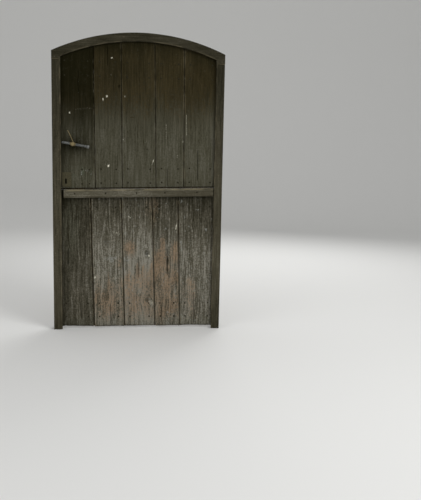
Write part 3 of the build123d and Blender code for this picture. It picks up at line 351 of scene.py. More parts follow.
KEY_WELL_ASIDE = 0.0045
KEY_WELL_HEIGHT = 0.893
KEY_WELL_HALF = (0.011, 0.022)
KEY_WELL_DEEP = 0.020


# Meshes

def put(name, data):
    """Link a new object to the scene."""
    piece = bpy.data.objects.new(name, data)
    bpy.context.scene.collection.objects.link(piece)
    return piece


def smooth(mesh):
    mesh.polygons.foreach_set("use_smooth", np.ones(len(mesh.polygons), bool))


def ring_faces(index):
    """Faces between each ring of points and the next."""
    nxt = np.roll(index, -1, 1)
    return np.stack([index[:-1], nxt[:-1], nxt[1:], index[1:]], -1).reshape(-1, 4).tolist()


def skin(name, points):
    """A closed mesh through rings of points, with its two ends filled."""
    index = np.arange(points.shape[0] * points.shape[1]).reshape(points.shape[:2])
    mesh = bpy.data.meshes.new(name)
    mesh.from_pydata(
        points.reshape(-1, 3).tolist(), [], ring_faces(index) + [index[0][::-1].tolist(), index[-1].tolist()]
    )
    smooth(mesh)
    mesh.set_sharp_from_angle(angle=radians(48))
    mesh.update()
    return put(name, mesh)


def store(mesh, name, values):
    """Keep three numbers for each point of a mesh."""
    attribute = mesh.attributes.new(name, "FLOAT_VECTOR", "POINT")
    attribute.data.foreach_set("vector", np.ascontiguousarray(np.stack(values, -1), np.float32).reshape(-1))


def store_masks(mesh, grain, soot, bleach, bare=0, algae=0, inside=0, paint=0, dark=0, splash=0, edge=0):
    """Keep the place in the wood and the nine masks that the wood's material reads."""
    zero = np.zeros_like(soot)
    store(mesh, "grain", grain)
    store(mesh, "stain", [np.clip(soot, 0, 1), bare + zero, algae + zero])
    store(mesh, "bloom", [np.clip(bleach, 0, 1), inside + zero, paint + zero])
    store(mesh, "marks", [dark + zero, splash + zero, edge + zero])


# Timber: a section with worn corners drawn along the grain

CORNER_STEPS = (0.0, 0.0009, 0.0021, 0.0038)
CORNER_ROOM = 0.0005
END_STEPS = np.array([0.0, 0.0008, 0.0022, 0.0045])
ROUND_START = 0.293


class Section:
    """The outline of a timber at every station along its grain."""

    def __init__(self, corners, radii, spacing):
        self.corners = corners
        self.radii = radii
        self.spacing = spacing

    def points(self):
        """Points round the outline, which way is inwards, and each point's face."""
        count = self.corners.shape[1]
        found = []
        for face in range(count):
            start, end = self.corners[:, face], self.corners[:, (face + 1) % count]
            run = end - start
            size = np.maximum(np.hypot(run[:, 0], run[:, 1]), 1e-9)[:, None]
            along = run / size
            inward = np.stack([-along[:, 1], along[:, 0]], 1)
            away = self.steps(size, face)
            moved, depth = rounded(away, self.radii[:, face, None])
            moved_back, depth_back = rounded(size - away, self.radii[:, (face + 1) % count, None])
            near_end = away > size / 2
            moved = np.where(near_end, size - moved_back, moved)
            depth = np.where(near_end, depth_back, depth)
            place = start[:, None] + along[:, None] * moved[..., None] + inward[:, None] * depth[..., None]
            found.append((place, np.broadcast_to(inward[:, None], place.shape), np.full(away.shape[1], face)))
        points, inwards, faces = zip(*found)
        return np.concatenate(points, 1), np.concatenate(inwards, 1), np.concatenate(faces)

    def steps(self, size, face):
        """Distances from a face's first corner, closer together near its corners."""
        full = size.mean()
        gap = self.spacing[face]
        near = [s for s in CORNER_STEPS if s < full / 2 - CORNER_ROOM] if gap < full else [0.0]
        inner = near[-1]
        count = max(int(round((full - 2 * inner) / gap)), 1)
        steps = [(0.0, s) for s in near] + [(1.0, -s) for s in near[1:]]
        steps += [(k / count, inner * (1 - 2 * k / count)) for k in range(1, count)]
        unique = sorted(set((share, round(off, 6)) for share, off in steps), key=lambda s: s[0] * full + s[1])
        return np.concatenate([share * size + off for share, off in unique], 1)


def round_off(away, radius):
    """How far a rounding draws in at a distance from the edge."""
    return np.where(away < radius, radius - np.sqrt(np.maximum(radius ** 2 - (radius - away) ** 2, 0)), 0.0)


def rounded(away, radius):
    """Where a point at a distance from a corner goes when the corner is rounded."""
    safe = np.maximum(radius, 1e-6)
    moved = np.where(away < safe, ROUND_START * safe + (1 - ROUND_START) * away, away)
    return moved, round_off(moved, safe)


def stations(size, gap):
    """Shares from 0 to 1 along a timber, closer together at its ends."""
    near, last = END_STEPS / size, END_STEPS[-1]
    count = max(int(round((size - 2 * last) / gap)), 1)
    middle = np.linspace(last, size - last, count + 1)[1:-1] / size
    return np.concatenate([near, middle, 1 - near[::-1]])


def end_wear(share, size, radius):
    """How far the faces draw in near a timber's ends."""
    return round_off(np.minimum(share, 1 - share) * size, radius)[:, None]


def corner_rows(run, outline):
    """The corners of an outline at each station; a coordinate may change along the run."""
    return np.stack([np.stack([run * 0 + a, run * 0 + b], 1) for a, b in outline], 1)


def grain_round_knots(x, y, z, offset):
    """The place in the wood that each point shows: fibres part and flow round the knots."""
    bend = np.zeros_like(x)
    for kx, kz, wide, high, *_ in KNOTS:
        dx = x - kx
        reach = np.exp(-(dx / (wide * 3.2)) ** 2 - ((z - kz) / (high * 2.6)) ** 2)
        bend -= np.tanh(dx / (wide * 0.7)) * wide * 1.15 * reach
    sway = 0.004 * field(z * 2.3 + offset, x * 0, 11) + 0.0016 * field(z * 7.0 + offset, x * 3.0, 12)
    return x + bend + sway + offset * 0.37, y, z + offset * 1.91


# Boards

BOARDS = 5
LEAF_SEEDS = {"upper": 3, "lower": 13}
SEAM_HEIGHTS = {"upper": (0.860, 1.600), "lower": (0.010, 0.785)}
FOOT_HOLLOWS = (
    # for each lower board: share of its width, half width, height of the hollow
    (0.35, 0.060, 0.002), (0.62, 0.050, 0.004), (0.42, 0.055, 0.003),
    (0.66, 0.050, 0.002), (0.30, 0.060, 0.003),
)
FOOT_ROOM = 0.0008
EDGE_STEP = 0.006
BACK_STEP = 0.008
BACK_RADIUS = 0.0008
BEAD = 0.018


def joint_line(shape, x, offset=0.0):
    return shape.joint_height + offset + tan(shape.joint_tilt) * x


def arch_line(shape, x, outward):
    centre = shape.crown - shape.arch_radius
    return centre + np.sqrt((shape.arch_radius + outward) ** 2 - (x - shape.arch_side) ** 2)


class Leaf:
    """The five boards of one leaf."""

    def __init__(self, name):
        shape = settings().shape
        self.name = name
        self.upper = name == "upper"
        half = shape.opening_half + shape.lip_cover
        self.foot_x = [-half, *getattr(shape, name + "_foot"), half]
        self.head_x = [-half, *getattr(shape, name + "_head"), half]
        self.gap = getattr(shape, name + "_gap")
        self.z0, self.z1 = SEAM_HEIGHTS[name]
        self.seed = LEAF_SEEDS[name]

    def seam(self, line, z):
        foot, head = self.foot_x[line], self.head_x[line]
        return foot + (head - foot) * (z - self.z0) / (self.z1 - self.z0)

    def ends(self, shape, index, x):
        """Heights of a board's foot and head at each x."""
        if self.upper:
            return joint_line(shape, x, shape.leaves_gap), arch_line(shape, x, shape.lip_cover)
        share, wide, high = FOOT_HOLLOWS[index]
        left, right = self.foot_x[index], self.foot_x[index + 1]
        hollow = high * bell(x, left + share * (right - left), wide)
        ragged = 0.0035 * np.abs(layers(x * 55, x * 0 + index * 3.3, 31, 3)) ** 1.2
        foot = at(f"lower_board_{index + 1}", 0, 2) + FOOT_ROOM
        return foot + hollow + ragged, joint_line(shape, x, -0.002)


def board(leaf, index):
    """One board of a leaf as a worn, grained and painted mesh."""
    shape, wear = settings()[:2]
    first, last = index == 0, index == BOARDS - 1
    middle_y = (shape.front + shape.board_back) / 2
    foot_mid, head_mid = leaf.ends(shape, index, np.array([0.0]))
    size = float(head_mid[0] - foot_mid[0])
    share = stations(size, wear.along)
    height = foot_mid[0] + share * size
    left = leaf.seam(index, height) + (0 if first else leaf.gap / 2)
    right = leaf.seam(index + 1, height) - (0 if last else leaf.gap / 2)
    lap_left = left + (0 if first else shape.lap + 0.001)
    lap_right = right + (0 if last else leaf.gap + shape.lap)
    wander = 0.0009 * layers(height * 9, height * 0 + index * 5.1 + leaf.seed, 5)
    if not first:
        left = left + np.abs(wander)
    if not last:
        right = right - np.abs(wander[::-1])
    outline, kinds = [(left, shape.front), (right, shape.front)], ["front", "front"]
    if not last:
        outline += [(right, middle_y), (lap_right, middle_y)]
        kinds += ["inner", "back"]
    outline += [(lap_right, shape.board_back), (lap_left, shape.board_back)]
    kinds += ["back", "back"]
    if not first:
        outline += [(lap_left, middle_y), (left, middle_y)]
        kinds += ["inner", "back"]
    radii = []
    for k, kind in enumerate(kinds):
        worn = wear.arris * (1 + 0.55 * layers(height * 14, height * 0 + k * 9.7 + index, leaf.seed + 40))
        radii.append({"front": worn, "inner": worn * 0, "back": worn * 0 + BACK_RADIUS}[kind])
    spacing = [wear.across] + [EDGE_STEP] * (len(kinds) - 1)
    spacing[2 if last else 4] = BACK_STEP
    flat, inward, face = Section(corner_rows(height, outline), np.stack(radii, 1), spacing).points()
    x, y = flat[..., 0], flat[..., 1]
    foot, head = leaf.ends(shape, index, x)
    z = foot + share[:, None] * (head - foot)
    front = (face == 0)[None, :]
    left, right = left[:, None], right[:, None]
    sawn = 0.00025 * (1 + layers(x * 160 + index, z * 9, 61, 2))
    weathered = end_wear(share, size, 0.0022) + face_relief(leaf, index, x, z, left, right)
    depth = np.where(front, weathered, end_wear(share, size, 0.0015) + sawn)
    x = x + inward[..., 0] * depth
    y = y + inward[..., 1] * depth
    piece = skin(f"{leaf.name}_board_{index + 1}_worn", np.stack([x, y, z], -1))
    paint_board(piece.data, leaf, index, x, y, z, left, right, front)
    return piece


def dents(x, z):
    """Depth of the knots at each point."""
    return strongest(deep * rise(spot(x, z, *oval), 0.0, 0.45) for *oval, _, deep in KNOTS)


def crack_mask(x, z):
    """How far each point lies in an open crack, from 0 to 1."""
    mask = np.zeros_like(x)
    for x0, z0, x1, z1, half in CRACKS:
        bend = 0.0016 * field(z * 40, z * 0 + x0 * 100, 21)
        middle = x0 + (x1 - x0) * (z - z0) / (z1 - z0) + bend
        share = np.clip((z - z0) / (z1 - z0), 0, 1)
        taper = np.sqrt(np.clip(4 * share * (1 - share), 0, 1)) * ((z > z0) & (z < z1))
        inside = np.clip(1.6 - np.abs(x - middle) / (half * np.maximum(taper, 0.05)), 0, 1)
        mask = np.maximum(mask, inside * (taper > 0.05))
    return mask


def face_relief(leaf, index, x, z, left, right):
    """How far the weather has eaten into a board's face at each point."""
    wear = settings().wear
    seed = wear.seed + leaf.seed
    share = (x - left) / (right - left)
    grain_x, _, grain_z = grain_round_knots(x, x * 0, z, index + leaf.seed)
    ridges = 0.5 + 0.5 * layers(grain_x * 115, grain_z * 2.2, seed, 3)
    fine = 0.5 + 0.5 * layers(grain_x * 310, grain_z * 6.0, seed + 5, 2)
    bow = wear.cup * (1 - (2 * share - 1) ** 2) * (0.6 + 0.4 * field(z * 2, z * 0, seed + 9))
    depth = wear.relief * (0.75 * ridges + 0.35 * fine) + bow * 0.6 + dents(x, z)
    depth = depth + wear.crack * crack_mask(x, z)
    edge = np.minimum(share, 1 - share) * (right - left)
    chewed = rise(layers(z * 22, share * 0 + index * 4.7, seed + 13, 3), 0.25, 0.75)
    depth = depth + 0.0022 * chewed * bell(edge, 0, 0.006)
    if not leaf.upper:
        foot = leaf.z0
        eaten = 0.45 + 0.55 * layers(x * 42, z * 18, seed + 17, 3)
        depth = depth + wear.foot * bell(z, foot, 0.028) * np.clip(eaten, 0, 1)
        broad = bell(z, foot, 0.085) * (0.5 + 0.5 * layers(x * 90, z * 7, seed + 19, 3))
        depth = depth + 0.0016 * broad
    if leaf.upper and index == 0:
        depth = depth + 0.0032 * np.clip(1 - np.abs(x - (right - BEAD)) / 0.0026, 0, 1)
        depth = depth + KEY_WELL_DEEP * key_well(x, z)
    return depth


def key_well(x, z):
    """1 over the hole for the key, which the keyhole plate covers."""
    middle_x = (at("escutcheon", 0, 0) + at("escutcheon", 1, 0)) / 2 - KEY_WELL_ASIDE
    half_x, half_z = KEY_WELL_HALF
    return np.where((np.abs(x - middle_x) < half_x) & (np.abs(z - KEY_WELL_HEIGHT) < half_z), 1.0, 0.0)


# Masks of the boards: five numbers give the five boards from left to right

UPPER_SOOT = (0.04, 0.0, 0.0, 0.0, 0.0)
# How much darker each upper board grows towards the arch: dirt and painted shade
UPPER_DIRT_AND_SHADE_RISE = (0.98, 0.58, 0.44, 0.44, 0.42)
LOWER_SOOT = (0.30, 0.04, 0.0, 0.08, 0.10)
LOWER_SOOT_RISE = (0.10, 0.18, 0.16, 0.24, 0.26)
LOWER_BLEACH = (0.36, 0.74, 0.92, 0.72, 0.66)
BARE_HEIGHT = (0.20, 0.36, 0.43, 0.55, 0.34)
BARE_AMOUNT = (0.15, 1.0, 0.95, 1.0, 0.75)
UPPER_FLECKS = 0.22
LOWER_FLECKS = (0.35, 0.5, 0.7, 0.7, 0.8)


def soot_and_shade_on(leaf, index, x, z, seed):
    """How dark the wood is made: dirt, with painted shade under the arch, near the left edge, round the
    lever, below the rail and along the foot.
    """
    mottled = 0.16 * layers(x * 14, z * 5, seed + 71, 4)
    if not leaf.upper:
        base = LOWER_SOOT[index] + rise(z, 0.40, 0.76) * LOWER_SOOT_RISE[index]
        # Painted shade on the lower leaf: the rail's shadow below it, with dirt; shade near the left edge,
        # beside the reveal; and shade along the foot
        rail_shadow_and_dirt, shade_at_left_edge, shaded_foot = bell(z, 0.800, 0.070), bell(x, -0.462, 0.05), bell(z, 0.010, 0.011)
        return base + 0.34 * rail_shadow_and_dirt + 0.28 * shade_at_left_edge + 0.62 * shaded_foot + mottled
    # Darker towards the top: dirt and painted shade under the arch
    up = rise(z, 0.90, 1.66)
    base = UPPER_SOOT[index] + up * UPPER_DIRT_AND_SHADE_RISE[index]
    if index == 0:
        # Painted shadow round the lever, with grime, and painted shade along the lock side beside the reveal
        lever_shadow_and_grime = bell(x, SPINDLE.x, 0.075) * bell(z, SPINDLE.z - 0.010, 0.045)
        lock_side = bell(x, -0.452, 0.055) * (1 - rise(z, 1.02, 1.12))
        base = base + 0.26 * rise(z, 0.86, 1.10) + 0.45 * lever_shadow_and_grime + 0.34 * lock_side
    # Painted shade of the arch along its edge, with dirt
    shade_and_dirt_under_arch = bell(arch_line(settings().shape, x, 0), z, 0.055)
    return base + 0.30 * shade_and_dirt_under_arch + mottled * (0.5 + up)


def bare_on(leaf, index, x, z, seed):
    """Where the reddish wood shows below, or the old brown stain above."""
    if leaf.upper:
        return np.clip(1.30 * rise(z, 1.08, 1.56) + 0.25 * layers(x * 9, z * 4, seed + 81, 3), 0, 1.3)
    rough = layers(x * 34, z * 8, seed + 81, 4)
    edge = BARE_HEIGHT[index] - z + 0.16 * rough
    patch = BARE_AMOUNT[index] * rise(edge, -0.05, 0.13) * (1 - 0.5 * rise(-z, -0.14, -0.02))
    patch = patch * (0.72 + 0.45 * layers(x * 22, z * 13, seed + 85, 3))
    if index == 1:
        patch = patch * (0.82 + 0.18 * rise(x, -0.25, -0.15))
    if index == 4:
        patch = patch * bell(x, 0.325, 0.055)
    patch = strongest([patch, *(strong * spot(x, z, *oval) for *oval, strong in BARE_PATCHES)])
    return np.clip(patch + 0.30 * rough * rise(patch, 0.0, 0.3), 0, 1)


def bleach_on(leaf, index, x, z, seed):
    """How grey the sun and rain have made the wood."""
    mottled = 0.22 * layers(x * 20, z * 6, seed + 91, 4)
    if leaf.upper:
        return 0.42 + 0.12 * (1 - rise(z, 1.0, 1.5)) + mottled
    return LOWER_BLEACH[index] * (1 - 0.48 * rise(z, 0.40, 0.72)) + mottled


def algae_on(leaf, x, z, seed):
    """Where a pale green film lies: near the lock, down the lock side and at the lower foot."""
    near_lock = spot(x, z, -0.325, 0.940, 0.085, 0.050) * rise(layers(x * 60, z * 20, seed + 3), -0.2, 0.5)
    foot = 0.3 * rise(-z, -0.10, -0.02) * (not leaf.upper)
    return near_lock + 0.35 * spot(x, z, -0.400, 0.640, 0.070, 0.300) + foot


def paint_on(leaf, index, x, z, seed):
    """Where flakes of old grey paint still hold."""
    flakes = rise(layers(x * 75, z * 55, seed + 23, 4), -0.15, 0.25)
    band = spot(x, z, -0.120, 0.425, 0.135, 0.030) * flakes
    band = band + 0.7 * spot(x, z, 0.055, 0.455, 0.045, 0.028) * flakes
    flecked = UPPER_FLECKS if leaf.upper else LOWER_FLECKS[index]
    scatter = rise(layers(x * 95, z * 60, seed + 29, 3), 0.35, 0.65) * flecked
    grainy = rise(layers(x * 120, z * 45, seed + 37, 3), 0.05, 0.45)
    near_lock = spot(x, z, -0.318, 0.935, 0.065, 0.055) * grainy
    return np.clip(0.8 * band + scatter + 0.75 * near_lock, 0, 1)


def dark_on(leaf, index, x, z):
    """Knots, which are dark wood, and painted shade in the cracks and the hole for the key."""
    grown_knots = ((kx, kz, wide * 1.7, high * 1.7, black) for kx, kz, wide, high, black, _ in KNOTS)
    knots = (0.8 * black * rise(spot(x, z, *oval), 0.0, 1.0) for *oval, black in grown_knots)
    dark = strongest([0.80 * crack_mask(x, z), *knots])
    return np.maximum(dark, key_well(x, z)) if leaf.upper and index == 0 else dark


def splash_on(x, z):
    """Spots and strokes of limewash."""
    spots = [strong * rise(spot(x, z, *oval), 0.0, 0.8) for *oval, strong in SPLASHES]
    return strongest(spots + [strong * rise(stroke(x, z, *line), 0.0, 0.8) for *line, strong in STROKES])


def pale_edge_on(leaf, index, x, z, left, right, seed):
    """Worn edges, where pale wood shows."""
    chip = rise(layers(z * 30, x * 12, seed + 43, 3), -0.25, 0.5)
    edge = bell(np.minimum(x - left, right - x), 0, 0.0034) * chip * (0.45 if leaf.upper else 1.2)
    if index in (3, 4) and leaf.upper:
        edge = edge + 0.5 * bell(x, right if index == 3 else left, 0.004) * chip
    return edge


def paint_board(mesh, leaf, index, x, y, z, left, right, front):
    """Write the colours' masks on a board: its back carries only dirt with painted shade, and dry wood."""
    seed = settings().wear.seed + leaf.seed
    faced = np.where(front, 1.0, 0.0)
    inside = np.where(front, 0.0, rise(y, -0.012, 0.001))
    store_masks(
        mesh, grain_round_knots(x, y, z, index + leaf.seed),
        soot=np.clip(soot_and_shade_on(leaf, index, x, z, seed), 0, 1) * (1 - 0.65 * inside),
        bleach=bleach_on(leaf, index, x, z, seed),
        bare=bare_on(leaf, index, x, z, seed) * faced,
        algae=algae_on(leaf, x, z, seed) * faced,
        inside=inside,
        paint=paint_on(leaf, index, x, z, seed) * faced,
        dark=dark_on(leaf, index, x, z) * faced,
        splash=splash_on(x, z) * faced,
        edge=pale_edge_on(leaf, index, x, z, left, right, seed) * faced,
    )


# Frame, rail and ledges

FIXING_HEIGHTS = (0.320, 1.320)
FIXING_RADIUS = 0.005
FIXING_DEEP = 0.022
FIXING_STEP = 0.0014
FIXING_ROWS = np.arange(-0.0066, 0.0067, 0.0011)
TIMBER_STEP = 0.0032
JAMB_STATIONS, HEAD_STATIONS, RAIL_STATIONS, LEDGE_STATIONS = 0.010, 0.007, 0.0055, 0.009
RAIL_CHAMFER, LEDGE_CHAMFER = 0.0065, 0.004
RAIL_SEED, RAIL_NAIL_SEED = 401, 21
FRAME_ROUGH = 0.00055
FRAME_EDGE = 0.004
FRAME_END = 0.002
CORNER_BESIDE = 0.0001
SHOULDER_ROOM = 0.0003
INSIDE_FROM = 0.028


class Timber:
    """A plain timber: its section's points and each one's place along it."""

    def __init__(self, run, outline, radii, seed, wave=13, spacing=None):
        """The radii are in mm and wander along the run, with wave swings on a metre."""
        worn = [
            size / 1000 * (1 + 0.5 * layers(run * wave, run * 0 + k, k + seed, 3))
            for k, size in enumerate(radii)
        ]
        self.corners = corner_rows(run, outline)
        section = Section(self.corners, np.stack(worn, 1), spacing or [TIMBER_STEP] * len(outline))
        self.flat, self.inward, self.face = section.points()
        self.a, self.b = self.flat[..., 0], self.flat[..., 1]
        self.run = np.broadcast_to(run[:, None], self.a.shape)

    def carved(self, name, depth, upright=False):
        """The skin, sunk by a depth at each point."""
        moved = self.flat + self.inward * depth[..., None]
        a, b = moved[..., 0], moved[..., 1]
        return skin(name, np.stack([a, b, self.run] if upright else [self.run, a, b], -1))

    def near_corner(self, which, reach):
        """1 at some corners of the section, falling to 0 away from them."""
        away = (self.flat - self.corners[:, corner][:, None] for corner in which)
        return strongest(bell(np.hypot(gap[..., 0], gap[..., 1]), 0, reach) for gap in away)


def jamb(side):
    """One upright of the frame, with its stop lip and the holes of its wall fixings."""
    shape = settings().shape
    size = shape.shoulder
    hole_rows = np.concatenate([z + FIXING_ROWS for z in FIXING_HEIGHTS]) / size
    share = np.sort(np.concatenate([stations(size, JAMB_STATIONS), hole_rows]))
    inner, outer = side * shape.opening_half, side * (shape.opening_half + shape.frame_face)
    rebate = side * (shape.opening_half + shape.lip_cover + shape.edge_gap)
    front, stop, back = shape.frame_front, shape.stop, shape.frame_back
    if side < 0:
        outline = [
            (outer, front), (inner, front), (inner, stop), (rebate, stop), (rebate, back), (outer, back),
        ]
        radii, lip, hole_face = (2.0, 4.2, 1.2, 0, 1.6, 1.6), 1, 5
    else:
        outline = [
            (inner, front), (outer, front), (outer, back), (rebate, back), (rebate, stop), (inner, stop),
        ]
        radii, lip, hole_face = (4.2, 2.0, 1.6, 1.6, 0, 1.2), 0, 1
    spacing = [TIMBER_STEP] * len(outline)
    spacing[hole_face] = FIXING_STEP
    timber = Timber(share * size, outline, radii, 50, spacing=spacing)
    x, y, z = timber.a, timber.b, timber.run
    near_hole = strongest(
        np.hypot(y - (stop + back) / 2, z - place) < FIXING_RADIUS for place in FIXING_HEIGHTS
    )
    hole = np.where(near_hole & (timber.face == hole_face)[None], 1.0, 0.0)
    across = x + y
    rough = FRAME_ROUGH * (1 + layers(across * 120, z * 2.4, 301 + side, 3))
    depth = rough + end_wear(share, size, FRAME_END)
    name = "frame_jamb_lock_side" if side < 0 else "frame_jamb_hinge_side"
    piece = timber.carved(f"{name}_worn", depth + FIXING_DEEP * hole, upright=True)
    up, foot = rise(z, 0.9, 1.6), bell(z, 0, 0.09)
    store_masks(
        piece.data, grain_round_knots(x, y, z, 23 + side),
        # Darker towards the top and the foot; the fixing holes are darkened as painted shade
        soot=0.20 + 0.45 * up + 0.2 * foot + 0.14 * layers(across * 15, z * 4, 71) + hole,
        bleach=0.42 - 0.1 * up + 0.25 * layers(across * 20, z * 5, 73),
        inside=np.where(y > INSIDE_FROM, 0.8, 0.0),
        edge=timber.near_corner((lip,), FRAME_EDGE) * rise(layers(z * 22, z * 0 + side, 61), -0.4, 0.4),
    )
    return piece, name


def frame_head():
    """The arched head of the frame, cut from one wide plank."""
    shape = settings().shape
    half = shape.opening_half + shape.frame_face
    size = 2 * half
    rebate = shape.opening_half + shape.lip_cover + shape.edge_gap
    edges = (shape.opening_half, rebate)
    beside = (-CORNER_BESIDE, CORNER_BESIDE)
    steps = [side * (edge + off) for side in (-1, 1) for edge in edges for off in beside]
    share = np.sort(np.concatenate([stations(size, HEAD_STATIONS), (np.array(steps) + half) / size]))
    x = -half + share * size
    lip = np.where(np.abs(x) < shape.opening_half, arch_line(shape, x, 0), shape.shoulder)
    rebate_arch = arch_line(shape, x, shape.lip_cover + shape.edge_gap)
    inner = np.where(np.abs(x) < rebate, rebate_arch, shape.shoulder + SHOULDER_ROOM)
    outer = arch_line(shape, x, shape.frame_face)
    front, stop, back = shape.frame_front, shape.stop, shape.frame_back
    outline = ((front, lip), (stop, lip), (stop, inner), (back, inner), (back, outer), (front, outer))
    timber = Timber(x, outline, (4.2, 1.2, 0.0, 1.4, 1.8, 2.2), 80)
    y, z, wide = timber.a, timber.b, timber.run
    depth = FRAME_ROUGH * (1 + layers(z * 120, wide * 2.4, 311, 3)) + end_wear(share, size, FRAME_END)
    piece = timber.carved("frame_head_worn", depth)
    store_masks(
        piece.data, (z + 5.3, y, wide + 0.004 * field(wide * 3, wide * 0, 17)),
        soot=0.62 + 0.16 * layers(z * 15, wide * 4, 77),
        bleach=0.36 + 0.25 * layers(z * 20, wide * 5, 79),
        inside=np.where(y > INSIDE_FROM, 0.8, 0.0),
        edge=timber.near_corner((0,), FRAME_EDGE) * rise(layers(wide * 22, wide * 0, 67), -0.4, 0.4),
    )
    return piece, "frame_head"


LevelLook = namedtuple("LevelLook", "corners reach light soot bleach inside")


def level_timber(node, bottom, top, chamfer, chamfered, look, seed, gap):
    """A timber that runs across the door: bottom and top give its edges at each x."""
    box_low, box_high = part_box(node)
    size = box_high.x - box_low.x
    share = stations(size, gap)
    x = box_low.x + share * size
    front, back, low, high = box_low.y, box_high.y, bottom(x), top(x)
    if chamfered == "front":
        outline = ((front, low), (back, low), (back, high), (front + chamfer, high), (front, high - chamfer))
        radii = (1.8, 0.6, 0.6, 1.4, 1.6)
    else:
        outline = (
            (front, low), (back - chamfer, low), (back, low + chamfer),
            (back, high - chamfer), (back - chamfer, high), (front, high),
        )
        radii = (0.5, 0.8, 1.0, 1.0, 0.8, 0.5)
    timber = Timber(x, outline, radii, seed, 16)
    y, z, wide = timber.a, timber.b, timber.run
    level = z - (bottom(wide) + top(wide)) / 2
    depth = 0.0004 * (1 + layers(level * 150 + y * 90, wide * 3.0, seed, 3)) + end_wear(share, size, 0.0025)
    piece = timber.carved(f"{node}_worn", depth)
    broken = rise(layers(wide * 20, level * 30, seed + 3), -0.5, 0.3)
    # Painted highlight on the chosen corners, as strong as look.light
    painted_highlight = timber.near_corner(look.corners, look.reach) * broken
    store_masks(
        piece.data, (level + seed * 0.31, y, wide + 0.003 * field(wide * 4, wide * 0, seed)),
        soot=look.soot(wide, level) + 0.14 * layers(level * 60, wide * 6, seed + 5, 4),
        bleach=look.bleach(wide) + 0.22 * layers(level * 90, wide * 9, seed + 7, 4),
        inside=look.inside, edge=painted_highlight * look.light,
    )
    return piece


# Nodes: outputs that can be calculated with, and small helpers that add a node

class Wire:
    """A node's output: each sign between two of them adds a Math node."""

    def __init__(self, socket):
        self.socket = socket
        self.tree = socket.id_data

    def __add__(self, other):
        return maths("ADD", self, other)

    def __radd__(self, other):
        return maths("ADD", other, self)

    def __sub__(self, other):
        return maths("SUBTRACT", self, other)

    def __rsub__(self, other):
        return maths("SUBTRACT", other, self)

    def __mul__(self, other):
        return maths("MULTIPLY", self, other)

    def __rtruediv__(self, other):
        return maths("DIVIDE", other, self)


def tree_of(*values):
    return next(value.tree for value in values if isinstance(value, Wire))


def feed(socket, value):
    """Link a socket, or set it to a number or a colour."""
    if isinstance(value, Wire):
        socket.id_data.links.new(value.socket, socket)
    elif hasattr(value, "__len__") and len(value) == 3 and len(socket.default_value) == 4:
        socket.default_value = (*value, 1.0)
    else:
        socket.default_value = value


def new_node(tree, kind, inputs=None, **features):
    made = tree.nodes.new(kind)
    for key, value in features.items():
        setattr(made, key, value)
    for key, value in (inputs or {}).items():
        feed(made.inputs[key], value)
    return made


def add(tree, kind, inputs=None, output=0, **features):
    """Add a node, feed its inputs and return one of its outputs."""
    return Wire(new_node(tree, kind, inputs, **features).outputs[output])


def maths(operation, a, b=0.0):
    return add(tree_of(a, b), "ShaderNodeMath", {0: a, 1: b}, operation=operation)


def clamped(value):
    """Hold the result of a Math node between 0 and 1."""
    value.socket.node.use_clamp = True
    return value


def blend(share, a, b):
    """Mix two colours by a share."""
    return add(tree_of(share, a, b), "ShaderNodeMix", {0: share, 6: a, 7: b}, 2, data_type="RGBA")


def span(value, low, high, out_low=0.0, out_high=1.0):
    """Stretch a value from one range to another, smooth and clamped."""
    inputs = {"Value": value, "From Min": low, "From Max": high, "To Min": out_low, "To Max": out_high}
    return add(value.tree, "ShaderNodeMapRange", inputs, interpolation_type="SMOOTHSTEP")


def cloud(vector, scale, detail=4.0, rough=0.55, twist=0.0):
    inputs = {"Vector": vector, "Scale": scale, "Detail": detail, "Roughness": rough, "Distortion": twist}
    return add(vector.tree, "ShaderNodeTexNoise", inputs)


def vector_of(x=0.0, y=0.0, z=0.0):
    return add(tree_of(x, y, z), "ShaderNodeCombineXYZ", {0: x, 1: y, 2: z})


def distance(vector, point):
    return add(vector.tree, "ShaderNodeVectorMath", {0: vector, 1: point}, "Value", operation="DISTANCE")


def shade(tone_of, share):
    """A colour made darker or brighter."""
    return tuple(part * share for part in tone_of)


def new_group(name, kind, inputs, outputs):
    """A node group with named sockets: its tree, what it is given and where its results go."""
    tree = bpy.data.node_groups.new(name, kind)
    for label, socket_kind, *default in inputs:
        socket = tree.interface.new_socket(name=label, in_out="INPUT", socket_type="NodeSocket" + socket_kind)
        if default:
            socket.default_value = default[0]
    for label, socket_kind in outputs:
        tree.interface.new_socket(name=label, in_out="OUTPUT", socket_type="NodeSocket" + socket_kind)
    given = {socket.name: Wire(socket) for socket in tree.nodes.new("NodeGroupInput").outputs}
    return tree, given, tree.nodes.new("NodeGroupOutput").inputs


def use_group(tree, name, build, inputs):
    """Place a shader group, which is built once and used by every material that needs it."""
    group = bpy.data.node_groups.get(name) or build(name)
    outputs = new_node(tree, "ShaderNodeGroup", node_tree=group)
    for key, value in inputs.items():
        feed(outputs.inputs[key], value)
    return [Wire(socket) for socket in outputs.outputs]


